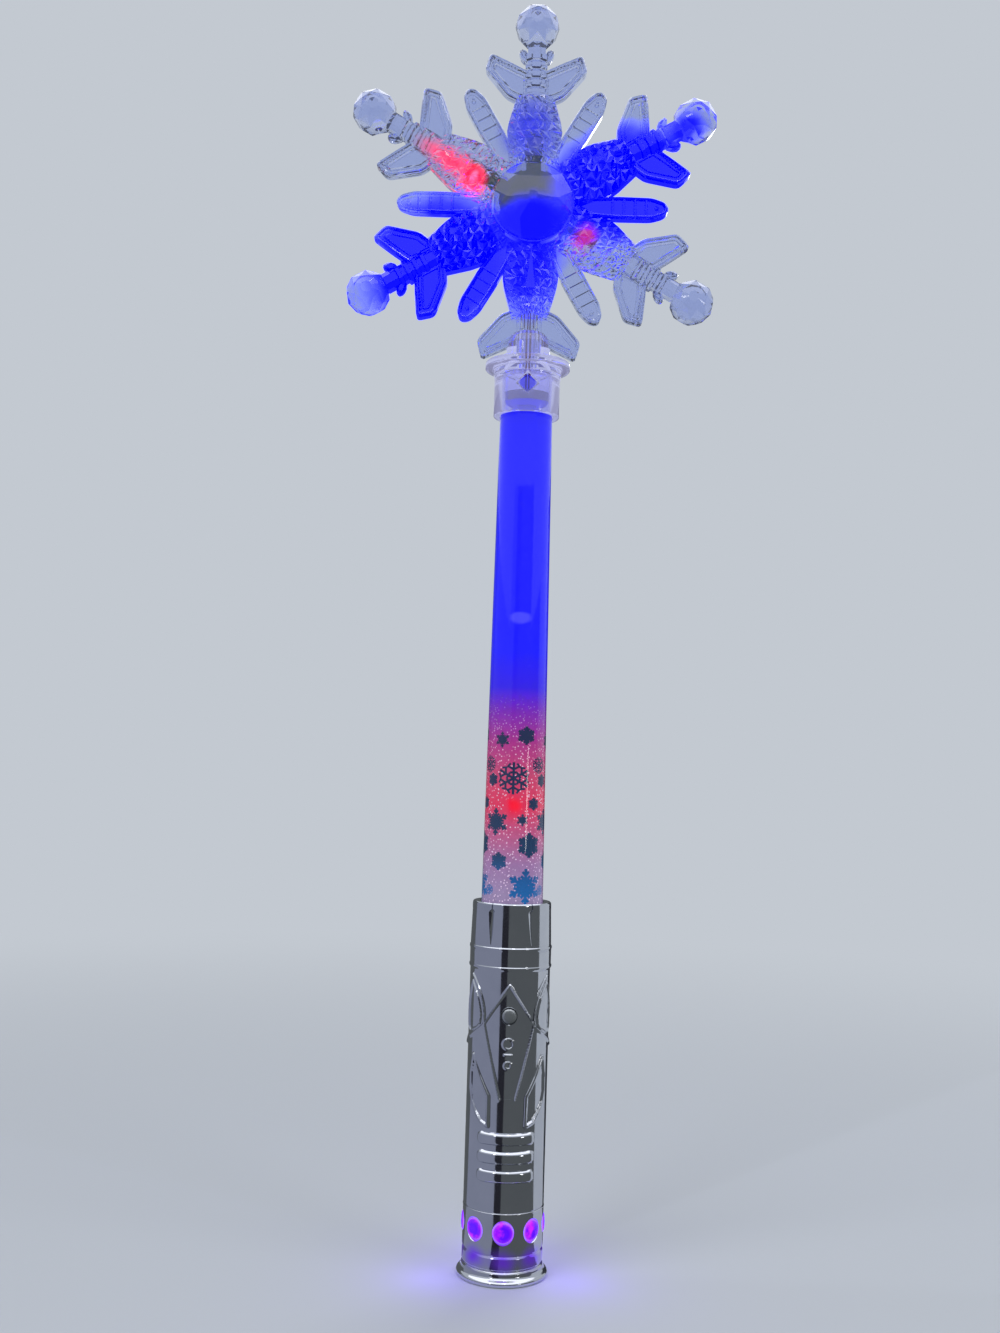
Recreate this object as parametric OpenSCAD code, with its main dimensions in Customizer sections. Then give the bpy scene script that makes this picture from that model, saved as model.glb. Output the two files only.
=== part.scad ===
// Toy magic wand: a chrome handle, a lit tapered tube and a clear snowflake head.
// It stands on its foot flange, with its axis along +Z and its button facing -Y.

/* [Handle] */
// Wall of the handle mouldings
shell_wall = 1.4; // [1.2:0.1:2]
// Height of the foot flange
flange_h = 1.7; // [1.2:0.1:3]
// How far the foot flange stands out from the grip
flange_out = 1.75; // [1:0.05:4]
// Height of the lower ring step
step_low_h = 3.1; // [2.4:0.1:5]
// Height of the upper ring step
step_high_h = 4.6; // [3.6:0.1:7]
// Height of the band that holds the jewel windows
window_band_h = 12.8; // [11.6:0.1:18]
// Height of the switch bay, between the batteries and the ring band
switch_bay_h = 20.4; // [19.6:0.1:30]
// Height of the plain ring band
ring_band_h = 6.6; // [5.6:0.1:10]
// How far the ring band stands out from the grip
ring_band_out = 0.3; // [0.2:0.05:1]
// Height of the top collar
collar_h = 14.1; // [8:0.1:24]
// How much the top collar tapers on each side
collar_taper = 0.35; // [0:0.05:0.8]

/* [Windows] */
// Number of jewel windows
window_count = 8; // [4:1:9]
// Diameter of a jewel window
window_d = 6.9; // [4:0.1:7.4]

/* [Button] */
// Diameter of the push button
button_d = 4.6; // [3.6:0.1:5.4]
// Height of the button's axis above the battery bulkhead
button_rise = 6; // [5:0.1:7]
// Travel of the push button
button_travel = 1; // [0.5:0.1:1.2]

/* [Batteries] */
// Diameter of a cell
cell_d = 10.5; // [10:0.1:14.5]
// Length of a cell with its nub
cell_len = 44.5; // [30:0.5:51]
// Width of the battery door
door_w = 19; // [16:0.5:19.5]

/* [Light tube] */
// Outer diameter at the tube's foot
tube_foot_d = 20.36; // [19:0.02:21]
// Outer diameter at the tube's top
tube_top_d = 17.2; // [16:0.1:19]
// Length of the tube
tube_len = 191.4; // [120:0.2:260]
// Wall of the tube
tube_wall = 1.2; // [1:0.1:1.6]

/* [Neck] */
// Wall of the neck's skirt
neck_wall = 2.15; // [1.6:0.05:3]
// Length of tube inside the neck's skirt
neck_lap = 14.2; // [12:0.1:20]
// How far the neck's flange stands out from its skirt
neck_flange_out = 3.2; // [1:0.1:5]
// Thickness of the neck's flange
neck_flange_h = 2.2; // [1.6:0.1:4]
// Diameter of the boss that takes the snowflake's stem
boss_d = 14.6; // [12:0.1:16]
// Height of the boss above the flange
boss_h = 10.8; // [9:0.1:14]
// Gap between the snowflake's lowest leaf tips and the neck's flange
leaf_gap = 1.38; // [1:0.01:10]

/* [Snowflake] */
// Distance from the snowflake's centre to each ball tip
arm_reach = 63; // [58:0.5:75]
// Diameter of a ball tip
ball_d = 15; // [10:0.5:18]
// Diameter of the hub
hub_d = 29; // [26:0.5:34]
// Half the hub's thickness, without its gem
hub_half_h = 4.6; // [4:0.1:7]
// Height of a hub gem
gem_h = 6.4; // [3:0.1:8]
// Half the thickness of a leaf
leaf_half_h = 2.6; // [2:0.1:3]

/* [Hidden] */
$fn = 96;

// Overrun of a cut, thickness of a slice that a hull starts from, and facets of a hull's own rounds
cut = 0.5;
skin = 0.02;
hull_fn = 32;

// Clearances: pieces that move past each other, pieces pushed together, and cells in their bay
run_gap = 0.3;
seat_gap = 0.15;
cell_gap = 0.1;
bay_gap = 0.23;

// Battery stack inside the grip, from the tray's floor upwards
cell_count = 3;
tray_floor = 1.8;
spring_h = 3.6;
contact_t = 0.4;
bulkhead_h = 5;
cell_ring_r = (cell_d + cell_gap) / (2 * sin(180 / cell_count));
bore_r = cell_ring_r + cell_d / 2 + bay_gap;
grip_r = bore_r + shell_wall;
grip_h = tray_floor + spring_h + cell_len + contact_t + bulkhead_h + switch_bay_h;

// Levels along the handle
z_step = flange_h;
z_high_step = z_step + step_low_h;
z_window = z_high_step + step_high_h;
z_grip = z_window + window_band_h;
z_bay = z_grip + tray_floor;
z_cell = z_bay + spring_h;
z_contact = z_cell + cell_len;
z_bulkhead = z_contact + contact_t;
z_switch = z_bulkhead + bulkhead_h;
z_band = z_grip + grip_h;
z_collar = z_band + ring_band_h;
z_top = z_collar + collar_h;
z_button = z_switch + button_rise;

// Light tube, with a flange trapped between a rib and the collar's shoulder
tube_flange_h = 2.4;
tube_flange_gap = 0.4;
rib_h = 2.2;
z_tube = z_collar - seat_gap - tube_flange_h;
z_tube_top = z_tube + tube_len;
tube_slope = (tube_top_d - tube_foot_d) / (2 * tube_len);
function tube_r(z) = tube_foot_d / 2 + tube_slope * (z - z_tube);
collar_bore_r = tube_r(z_collar) + seat_gap;
collar_r = grip_r + ring_band_out / 2;
holder_gap = 0.22;
holder_r = tube_r(z_tube) - tube_wall - holder_gap;
rib_bite = 0.7;
rib_r = holder_r - rib_bite;

// Neck and head levels
z_neck = z_tube_top - neck_lap;
z_roof = z_tube_top + seat_gap;
neck_roof = 1.7;
z_neck_flange = z_roof + neck_roof;
z_neck_top = z_neck_flange + neck_flange_h;
socket_floor = 1.6;
z_socket = z_neck_top + socket_floor;
z_boss = z_neck_top + boss_h;
leaf_shares = [[0.54, 0.02], [0.73, 0.02], [0.785, 0.13], [0.84, 0.25], [0.745, 0.278], [0.6, 0.155]];
leaf_tip_share = max([for (s = leaf_shares) s[0]]);
z_hub = z_neck_top + arm_reach * leaf_tip_share + leaf_gap;
neck_bore_r = tube_r(z_neck) + seat_gap;
neck_r = neck_bore_r + neck_wall;
neck_flange_r = neck_r + neck_flange_out;
wire_hole_r = 2.4;

// Snap lug of the tube in the neck's diamond hole
snap_w = 7.4;
snap_h = 7.6;
snap_share = 0.67;
z_snap = z_neck + neck_lap * snap_share;
lug_root_share = 0.85;
lug_inset = 0.6;

// Steps of the base cap, its grooves and its spigot
groove_w = 0.6;
groove_depth = 0.45;
cap_floor = 2;
spigot_h = 2.5;
step_out = 0.2;

// Window band: web under the tray and spigot inside the shells
web_h = 1;
web_bite = 1.4;
band_spigot_h = 3.5;
band_spigot_wall = 1.2;
jewel_drop = 0.25;
z_jewel = z_window + (window_band_h - web_h + spigot_h) / 2 - jewel_drop;
jewel_wall = 1.4;
jewel_proud = 0.35;
jewel_chamfer = 0.9;

// Base lamp board
base_board_t = 1.2;
post_d = 3;
post_r_share = 0.62;
base_lamp_count = 4;
lamp_w = 5;
lamp_h = 1.6;
base_lamp_r_share = 0.66;
post_count = 3;
z_base_board = z_window + spigot_h - base_board_t;

// Battery tray
rod_d = 2.4;
rod_inset = 0.2;
rod_r = bore_r - rod_inset - rod_d / 2;
bulkhead_gap = 0.3;
bulkhead_r = bore_r - bulkhead_gap;
tray_floor_r = bore_r - seat_gap - band_spigot_wall - seat_gap;
spring_wire = 0.6;
spring_foot_r = 3.4;
spring_head_r = 2.2;
spring_turns = 4;
spring_rings = 8;
spring_sides = 6;
contact_d = 6.4;
nub_d = 3.8;
nub_h = 0.8;
lead_d = 0.8;
lead_gap = 0.2;

// Main board, its rails, the key switch and the plunger
board_t = 1.2;
board_w = 16.8;
board_top_gap = 0.3;
board_y = -3;
rail_w = 1.8;
rail_depth = 3.4;
rail_bite = 0.6;
rail_gap = 0.1;
rail_top_gap = 2.4;
switch_w = 6;
switch_h = 3.5;
plunger_d = 3.2;
plunger_gap = 0.1;
plunger_end_gap = 0.4;
button_flange_out = 1.1;
button_flange_t = 1;
button_proud = 0.6;
chip_w = 5;
chip_h = 4;
chip_t = 1.4;
chip_rise = 8;
base_lead_x = 1.2;
base_lead_out = 2.1;
base_lead_y = -(cell_ring_r + base_lead_out);
base_lead_rise = 1.5;
battery_lead_x = cell_ring_r * sin(180 / cell_count);
battery_lead_y = board_y - lead_d / 2;
battery_lead_rise = 2.5;
button_flange_r = button_d / 2 + button_flange_out;
button_front = -(grip_r + button_proud);
button_wall_y = -sqrt(bore_r * bore_r - button_flange_r * button_flange_r);
button_back = button_wall_y + run_gap + button_flange_t;
plunger_front = button_back + run_gap;
switch_front = board_y - switch_h;
plunger_bury = 1.1;
plunger_back = switch_front + plunger_bury;

// Shell screws and their bosses
screw_d = 2;
screw_clear = 0.15;
screw_head_d = 3.8;
screw_head_t = 1.5;
screw_seat_y = 2.5;
screw_len = 9;
screw_x = 4.6;
screw_rise = 15.5;
pilot_clear = 0.05;
front_boss_d = 4;
rear_boss_d = 5.8;
board_hole_gap = 0.2;
slot_w = 0.6;
slot_depth = 0.6;
slot_len_share = 0.66;
z_screw = z_switch + screw_rise;

// Battery door, hung on its tongues and held by a screw into the bulkhead
door_sill = 3.5;
door_head = 1.5;
door_top_gap = 0.5;
tongue_x = 6.5;
tongue_w = 2.4;
tongue_t = 0.9;
tongue_drop = 1.3;
tongue_lap = 2;
tongue_gap = 0.3;
pad_d = 6.4;
pad_depth = 2;
door_screw_d = 2;
door_screw_head_d = 4.4;
door_screw_head_t = 1.5;
door_screw_len = 4.6;
door_screw_sink = 0.25;
door_screw_room = 0.65;
bulkhead_flat_gap = 0.4;
z_door = z_bay + door_sill;
z_door_top = z_switch + door_head;
z_door_screw = z_bulkhead + bulkhead_h / 2;
door_pad_y = bore_r - pad_depth;
door_screw_seat = grip_r - door_screw_sink - door_screw_head_t;
bulkhead_flat = door_pad_y - bulkhead_flat_gap;

// Lamp strip
strip_w = 6;
strip_t = 1;
strip_y = 0.2;
strip_start_gap = 1.4;
holder_h = 4;
guide_h = 3;
guide_drop = 6.6;
strip_lead_x = 1.5;
strip_lead_d = 0.6;
strip_lead_drop = 0.9;
lamp_first_share = 0.249;
lamp_pitch_share = 0.32;
lamp_count = 3;
film_t = 0.4;
film_gap = 0.1;
film_lap = 1;
z_strip = z_band - strip_start_gap;
z_guide = z_tube_top - guide_drop - guide_h;
z_strip_top = z_guide + guide_h;
guide_r = tube_r(z_guide + guide_h) - tube_wall - seat_gap;

// Raised ornament on the grip
line_w = 1.1;
line_h = 0.55;
line_bite = 0.3;
kite_up = 9.65;
kite_side_drop = 3;
kite_down = 26.2;
kite_w = 15;
kite_foot_w = 5;
mark_d = 4;
mark_line = 0.7;
mark_drops = [8.8, 15.5];
bar_mark_drop = 12.15;
bar_mark_w = 2.6;
bar_w = 17.8;
bar_h = 3.8;
bar_pitch = 5.75;
bar_rise = 9.5;
bar_count = 3;
bar_round = 1.2;
frame_in = 5.2;
frame_w = 5.8;
frame_h = 20.3;
frame_rise = 26.3;
frame_shares = [[0.03, 0], [0.45, 0.1], [0.8, 0.28], [1, 0.52], [1, 0.76], [0.95, 1], [0.04, 0.47]];
almond_w = 11.6;
almond_h = 22.4;
almond_drop = 0.8;
almond_angle = 60;
almond_steps = 6;

// Snowflake: arms, leaves, leaves between the arms, and pockets for the lamp board
arm_count = 6;
stem_arm = 3;
bed_shares = [[0.16, 0.25], [0.42, 0.3], [0.6, 0.2]];
bed_side = 1.8;
bed_tip_ridge = 3.8;
ridge_drop = 0.1;
stub_share = 0.5;
stub_w = 6;
stub_side = 2;
stub_ridge = 3.6;
ball_bite = 1;
ball_facets = 12;
band_t = 1.4;
band_out = 0.7;
band_shares = [0.745, 0.79, 0.835];
spike_shares = [[0.19, -0.045], [0.46, -0.062], [0.64, -0.06], [0.71, -0.038], [0.735, 0],
    [0.71, 0.038], [0.64, 0.06], [0.46, 0.062], [0.19, 0.045]];
leaf_bevel = 0.9;
leaf_rim = 1.7;
leaf_recess = 0.7;
bezel_w = 0.9;
bezel_h = 0.8;
gem_gap = 0.1;
gem_facets = 12;
gem_crown_facets = 6;
gem_girdle_share = 0.16;
gem_shoulder_share = 0.62;
gem_crown_share = 0.66;
gem_tip_share = 0.12;
stem_w = 6.4;
stem_half_t = 3.4;
stem_lap = z_boss - z_socket + seat_gap;
leaf_slot_gap = 0.3;
boss_round = 4.5;
boss_steps = 5;
pocket_gap = 0.3;
pocket_h = 2.4;
head_board_t = 1;
head_disc_inset = 4.5;
head_disc_d = hub_d - 2 * head_disc_inset;
finger_w = 5;
finger_share = 0.4;
finger_reach = arm_reach * finger_share;
head_lamp_share = 0.34;
head_lamp_r = arm_reach * head_lamp_share;
head_lamp_w = 4.4;
head_lamp_h = 1.4;
head_lead_x = 0.75;
head_lead_lap = 5;
head_lead_start = 10;
stem_reach = z_hub - z_socket;
lead_y = strip_y + strip_t + lead_d / 2;

// Colours, as the wand shows them when lit
chrome = "silver";
clear = [0.8, 0.85, 1, 0.5];
board_green = [0.1, 0.35, 0.2];
lamp_white = [0.95, 0.95, 0.9];
copper = [0.75, 0.35, 0.2];

// Unit vector along v
function unit(v) = v / norm(v);

// Corners of a counter-clockwise outline moved inwards by w
function inset(p, w) = [for (i = [0 : len(p) - 1])
    let (u = unit(p[i] - p[(i + len(p) - 1) % len(p)]),
         v = unit(p[(i + 1) % len(p)] - p[i]),
         n = [-u[1], u[0]],
         m = [-v[1], v[0]])
    p[i] + w * (n + m) / (1 + n * m)];

// Outline mirrored in its second axis, still counter-clockwise
function mirrored(p) = [for (i = [len(p) - 1 : -1 : 0]) [p[i][0], -p[i][1]]];

// Solid of revolution from radius and height pairs
module turned(profile) {
    rotate_extrude() polygon(profile);
}

// Cylinder along +Y from y0 to y1, at x and z
module along_y(x, z, y0, y1, d) {
    translate([x, y0, z]) rotate([-90, 0, 0]) cylinder(h = y1 - y0, d = d);
}

// Line of width line_w that follows an outline on its inner side
module loop_line(p) {
    difference() {
        polygon(p);
        polygon(inset(p, line_w));
    }
}

// Places a flat drawing on the front of the grip, turned about the axis, as a raised layer
module raised(angle) {
    intersection() {
        rotate([0, 0, angle]) rotate([90, 0, 0]) linear_extrude(grip_r + line_h + cut) children();
        difference() {
            translate([0, 0, z_grip]) cylinder(h = grip_h, r = grip_r + line_h);
            translate([0, 0, z_grip - cut]) cylinder(h = grip_h + 2 * cut, r = grip_r - line_bite);
        }
    }
}

// Everything in front of the seam, or behind it
module half_space(front) {
    size = 4 * grip_r;
    translate([-size / 2, front ? -size : 0, 0]) cube([size, size, z_top + cut]);
}

// Handle tube in one piece, before it is split into its two shells
module shell_blank() {
    turned([[bore_r, z_grip], [grip_r, z_grip], [grip_r, z_band], [grip_r + ring_band_out, z_band],
        [grip_r + ring_band_out, z_collar], [collar_r, z_collar], [collar_r - collar_taper, z_top],
        [collar_bore_r, z_top], [collar_bore_r, z_collar], [bore_r, z_collar], [bore_r, z_tube],
        [rib_r, z_tube], [rib_r, z_tube - rib_h], [bore_r, z_tube - rib_h]]);
}

// Screw boss pair, cut to stay inside the shell's wall
module shell_bosses(front, d) {
    reach = bore_r + shell_wall / 2;
    intersection() {
        for (side = [-1, 1])
            along_y(side * screw_x, z_screw, front ? -reach : 0, front ? 0 : reach, d);
        translate([0, 0, z_grip]) cylinder(h = grip_h, r = reach);
    }
}

module kite_outline() {
    loop_line([[0, z_button + kite_up], [-kite_w / 2, z_button - kite_side_drop],
        [-kite_foot_w / 2, z_button - kite_down], [kite_foot_w / 2, z_button - kite_down],
        [kite_w / 2, z_button - kite_side_drop]]);
}

// Ring marks and a bar mark under the button
module switch_marks() {
    for (drop = mark_drops) translate([0, z_button - drop]) difference() {
        circle(d = mark_d, $fn = hull_fn);
        circle(d = mark_d - 2 * mark_line, $fn = hull_fn);
    }
    translate([-bar_mark_w / 2, z_button - bar_mark_drop - mark_line / 2]) square([bar_mark_w, mark_line]);
}

// Rounded bars under the kite
module grip_bars() {
    for (i = [0 : bar_count - 1]) translate([0, z_grip + bar_rise + i * bar_pitch]) {
        translate([-bar_w / 2 + bar_round, 0]) square([bar_w - 2 * bar_round, bar_h]);
        translate([-bar_w / 2, bar_round]) square([bar_w, bar_h - 2 * bar_round]);
        for (x = [-1, 1], z = [bar_round, bar_h - bar_round])
            translate([x * (bar_w / 2 - bar_round), z]) circle(r = bar_round, $fn = hull_fn);
    }
}

// Leaf-shaped frames beside the bars
module leaf_frames() {
    for (side = [0, 1]) mirror([side, 0])
        loop_line([for (s = frame_shares)
            [frame_in + frame_w * s[0], z_grip + frame_rise + frame_h * s[1]]]);
}

// Pointed oval beside the kite
module almond() {
    t = [for (i = [0 : almond_steps]) 2 * i / almond_steps - 1];
    right = [for (s = t) [almond_w / 2 * (1 - s * s), z_button - almond_drop + almond_h / 2 * s]];
    left = [for (i = [almond_steps - 1 : -1 : 1]) [-right[i][0], right[i][1]]];
    loop_line(concat(right, left));
}

module front_shell() {
    color(chrome) difference() {
        union() {
            intersection() {
                shell_blank();
                half_space(true);
            }
            shell_bosses(true, front_boss_d);
            raised(0) {
                kite_outline();
                switch_marks();
                grip_bars();
                leaf_frames();
            }
            raised(almond_angle) almond();
            raised(-almond_angle) almond();
        }
        along_y(0, z_button, -2 * grip_r, -bore_r / 2, button_d + 2 * run_gap);
        for (side = [-1, 1])
            along_y(side * screw_x, z_screw, screw_seat_y - screw_len - cut, cut, screw_d + 2 * pilot_clear);
    }
}

module rear_shell() {
    opening_w = door_w + 2 * run_gap;
    color(chrome) difference() {
        union() {
            intersection() {
                shell_blank();
                half_space(false);
            }
            shell_bosses(false, rear_boss_d);
        }
        translate([-opening_w / 2, 0, z_door - run_gap])
            cube([opening_w, 2 * grip_r, z_door_top + door_top_gap - z_door + run_gap]);
        for (side = [-1, 1]) {
            along_y(side * screw_x, z_screw, -cut, screw_seat_y + cut, screw_d + 2 * screw_clear);
            along_y(side * screw_x, z_screw, screw_seat_y, 2 * grip_r, screw_head_d + 2 * screw_clear);
        }
    }
}

// Curved cover of the battery bay, with two tongues at its foot and a pad for its screw
module battery_door() {
    door_h = z_door_top - z_door;
    tongue_r = bore_r - tongue_gap;
    color(chrome) difference() {
        union() {
            intersection() {
                translate([0, 0, z_door]) difference() {
                    cylinder(h = door_h, r = grip_r);
                    translate([0, 0, -cut]) cylinder(h = door_h + 2 * cut, r = bore_r);
                }
                translate([-door_w / 2, 0, z_door]) cube([door_w, 2 * grip_r, door_h]);
            }
            intersection() {
                translate([0, 0, z_door - tongue_drop]) difference() {
                    cylinder(h = tongue_drop + tongue_lap, r = tongue_r);
                    translate([0, 0, -cut])
                        cylinder(h = tongue_drop + tongue_lap + 2 * cut, r = tongue_r - tongue_t);
                }
                for (side = [-1, 1]) translate([side * tongue_x - tongue_w / 2, 0, z_door - tongue_drop])
                    cube([tongue_w, 2 * grip_r, tongue_drop + tongue_lap]);
            }
            intersection() {
                translate([0, 0, z_door]) difference() {
                    cylinder(h = tongue_lap, r = bore_r + shell_wall / 2);
                    translate([0, 0, -cut]) cylinder(h = tongue_lap + 2 * cut, r = tongue_r - tongue_t);
                }
                for (side = [-1, 1]) translate([side * tongue_x - tongue_w / 2, 0, z_door])
                    cube([tongue_w, 2 * grip_r, tongue_lap]);
            }
            intersection() {
                along_y(0, z_door_screw, door_pad_y, grip_r, pad_d);
                translate([0, 0, z_door]) cylinder(h = door_h, r = bore_r + shell_wall / 2);
            }
        }
        along_y(0, z_door_screw, door_pad_y - cut, grip_r + cut, door_screw_d + 2 * run_gap);
        along_y(0, z_door_screw, door_screw_seat - run_gap, grip_r + cut, door_screw_head_d + 2 * run_gap);
    }
}

// Screw along +Y with its head outwards and a cross slot
module cross_screw(x, z, seat, length, d, head_d, head_t) {
    difference() {
        union() {
            along_y(x, z, seat - length, seat + head_t / 2, d);
            along_y(x, z, seat, seat + head_t, head_d);
        }
        for (a = [0, 90]) translate([x, seat + head_t, z]) rotate([0, a, 0])
            translate([-head_d * slot_len_share / 2, -slot_depth, -slot_w / 2])
                cube([head_d * slot_len_share, slot_depth + cut, slot_w]);
    }
}

module door_screw() {
    color("gray") cross_screw(0, z_door_screw, door_screw_seat, door_screw_len, door_screw_d,
        door_screw_head_d, door_screw_head_t);
}

module shell_screws() {
    color("gray") for (side = [-1, 1])
        cross_screw(side * screw_x, z_screw, screw_seat_y, screw_len, screw_d, screw_head_d, screw_head_t);
}

// Ring with the jewel windows, the tray's seat and a spigot that the shells close on
module window_band() {
    spigot_r = bore_r - seat_gap;
    color(chrome) difference() {
        turned([[bore_r, z_window], [grip_r, z_window], [grip_r, z_grip], [spigot_r, z_grip],
            [spigot_r, z_grip + band_spigot_h], [spigot_r - band_spigot_wall, z_grip + band_spigot_h],
            [spigot_r - band_spigot_wall, z_grip], [spigot_r - band_spigot_wall - web_bite, z_grip],
            [spigot_r - band_spigot_wall - web_bite, z_grip - web_h], [bore_r, z_grip - web_h]]);
        for (i = [0 : window_count - 1]) rotate([0, 0, i * 360 / window_count])
            along_y(0, z_jewel, -2 * grip_r, -bore_r / 2, window_d);
    }
}

// Clear ring behind the windows, with a chamfered jewel in each
module jewel_ring() {
    ring_r = bore_r - seat_gap;
    ring_z = z_window + spigot_h;
    stud_d = window_d - 2 * seat_gap;
    color([0.4, 0.1, 1, 0.8]) difference() {
        union() {
            translate([0, 0, ring_z]) cylinder(h = z_grip - web_h - ring_z, r = ring_r);
            for (i = [0 : window_count - 1]) rotate([0, 0, i * 360 / window_count])
                translate([0, 0, z_jewel]) rotate([90, 0, 0]) {
                    cylinder(h = grip_r - jewel_chamfer / 2, d = stud_d);
                    translate([0, 0, grip_r - jewel_chamfer / 2])
                        cylinder(h = jewel_chamfer / 2 + jewel_proud, d1 = stud_d,
                            d2 = stud_d - 2 * jewel_chamfer);
                }
        }
        translate([0, 0, ring_z - cut]) cylinder(h = window_band_h, r = ring_r - jewel_wall);
    }
}

// Stepped cap under the windows, with the foot flange, a spigot and posts for the lamp board
module base_cap() {
    spigot_r = bore_r - seat_gap;
    cap_bore_r = spigot_r - band_spigot_wall;
    color(chrome) {
        turned([[0, 0], [grip_r + flange_out, 0], [grip_r + flange_out, flange_h],
            [grip_r + step_out, z_step], [grip_r + step_out, z_high_step - groove_w],
            [grip_r - groove_depth, z_high_step - groove_w], [grip_r - groove_depth, z_high_step],
            [grip_r, z_high_step], [grip_r, z_window - groove_w],
            [grip_r - groove_depth, z_window - groove_w], [grip_r - groove_depth, z_window],
            [spigot_r, z_window], [spigot_r, z_window + spigot_h], [cap_bore_r, z_window + spigot_h],
            [cap_bore_r, cap_floor], [0, cap_floor]]);
        for (i = [0 : post_count - 1]) rotate([0, 0, 90 + i * 360 / post_count])
            translate([cap_bore_r * post_r_share, 0, cap_floor - skin])
                cylinder(h = z_base_board - cap_floor + skin, d = post_d);
    }
}

module base_board() {
    r = bore_r - seat_gap - band_spigot_wall - seat_gap;
    color(board_green) translate([0, 0, z_base_board]) cylinder(h = base_board_t, r = r);
}

module base_lamps() {
    r = (bore_r - band_spigot_wall) * base_lamp_r_share;
    color(lamp_white) for (i = [0 : base_lamp_count - 1]) rotate([0, 0, 45 + i * 360 / base_lamp_count])
        translate([r - lamp_w / 2, -lamp_w / 2, z_base_board + base_board_t]) cube([lamp_w, lamp_w, lamp_h]);
}

// Pair of wires from the base lamps, up between two cells, to the main board
module base_leads() {
    z0 = z_base_board + base_board_t;
    z1 = z_switch + base_lead_rise;
    color(copper) for (side = [-1, 1]) {
        translate([side * base_lead_x, base_lead_y, z0]) cylinder(h = z1 - z0, d = lead_d);
        translate([side * base_lead_x, base_lead_y, z1]) sphere(d = lead_d);
        along_y(side * base_lead_x, z1, base_lead_y, board_y, lead_d);
    }
}

// Angle of each cell round the axis; the first faces the door
function cell_angle(i) = 90 + i * 360 / cell_count;

// Frame that holds the cells between two plates, with rails for the main board above
module battery_tray() {
    rail_x = board_w / 2 - rail_bite;
    spigot_clear = band_spigot_h + seat_gap;
    color("dimgray") difference() {
        union() {
            translate([0, 0, z_grip]) cylinder(h = tray_floor, r = tray_floor_r);
            difference() {
                translate([0, 0, z_bulkhead]) cylinder(h = bulkhead_h, r = bulkhead_r);
                translate([-grip_r, bulkhead_flat, z_bulkhead - cut])
                    cube([2 * grip_r, grip_r, bulkhead_h + 2 * cut]);
            }
            intersection() {
                for (i = [0 : cell_count - 1]) rotate([0, 0, cell_angle(i) + 180 / cell_count])
                    translate([rod_r, 0, z_grip]) cylinder(h = z_bulkhead + bulkhead_h - z_grip, d = rod_d);
                union() {
                    translate([0, 0, z_grip + spigot_clear]) cylinder(h = grip_h, r = grip_r);
                    translate([0, 0, z_grip]) cylinder(h = spigot_clear + skin, r = tray_floor_r);
                }
            }
            for (side = [0, 1]) mirror([side, 0, 0])
                translate([rail_x, board_y + board_t / 2 - rail_depth / 2, z_switch - skin])
                    cube([rail_w + rail_bite, rail_depth, z_band - rail_top_gap - z_switch]);
        }
        translate([-board_w / 2 - rail_gap, board_y - rail_gap, z_switch])
            cube([board_w + 2 * rail_gap, board_t + 2 * rail_gap, switch_bay_h]);
        along_y(0, z_door_screw, door_screw_seat - door_screw_len - cut, 2 * grip_r,
            door_screw_d + 2 * door_screw_room);
        for (side = [-1, 1]) {
            translate([side * base_lead_x, base_lead_y, z_grip - cut])
                cylinder(h = grip_h, d = lead_d + 2 * lead_gap);
            translate([side * battery_lead_x, battery_lead_y, z_bulkhead - cut])
                cylinder(h = bulkhead_h + 2 * cut, d = lead_d + 2 * lead_gap);
        }
    }
}

module battery_cells() {
    color("goldenrod") for (i = [0 : cell_count - 1]) rotate([0, 0, cell_angle(i)])
        translate([cell_ring_r, 0, z_cell]) {
            cylinder(h = cell_len - nub_h, d = cell_d);
            cylinder(h = cell_len, d = nub_d);
        }
}

// Centre line of one battery spring: a cone-shaped coil from its foot to its head
function spring_point(i) =
    let (s = i / (spring_turns * spring_rings),
         a = 360 * i / spring_rings,
         r = spring_foot_r + (spring_head_r - spring_foot_r) * s)
    [r * cos(a), r * sin(a), spring_wire / 2 + (spring_h - spring_wire) * s];

// Wire swept along that line, with a round section of few sides
module spring_coil() {
    rings = spring_turns * spring_rings;
    points = [for (i = [0 : rings], j = [0 : spring_sides - 1])
        let (a = 360 * i / spring_rings, b = 360 * j / spring_sides)
        spring_point(i) + spring_wire / 2 * [cos(b) * cos(a), cos(b) * sin(a), sin(b)]];
    walls = [for (i = [0 : rings - 1], j = [0 : spring_sides - 1])
        let (k = (j + 1) % spring_sides, p = i * spring_sides, q = p + spring_sides)
        each [[p + j, q + j, q + k], [p + j, q + k, p + k]]];
    foot = [for (j = [1 : spring_sides - 2]) [0, j, j + 1]];
    last = rings * spring_sides;
    head = [for (j = [1 : spring_sides - 2]) [last, last + j + 1, last + j]];
    polyhedron(points, concat(walls, foot, head));
}

module battery_springs() {
    color("lightgray") for (i = [0 : cell_count - 1]) rotate([0, 0, cell_angle(i)])
        translate([cell_ring_r, 0, z_bay]) spring_coil();
}

module battery_contacts() {
    color("lightgray") for (i = [0 : cell_count - 1]) rotate([0, 0, cell_angle(i)])
        translate([cell_ring_r, 0, z_contact]) cylinder(h = contact_t, d = contact_d);
}

// Wires from two contacts, through the bulkhead, to the front of the main board
module battery_leads() {
    color("firebrick") for (side = [-1, 1]) translate([side * battery_lead_x, battery_lead_y, z_bulkhead])
        cylinder(h = bulkhead_h + battery_lead_rise, d = lead_d);
}

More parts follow.
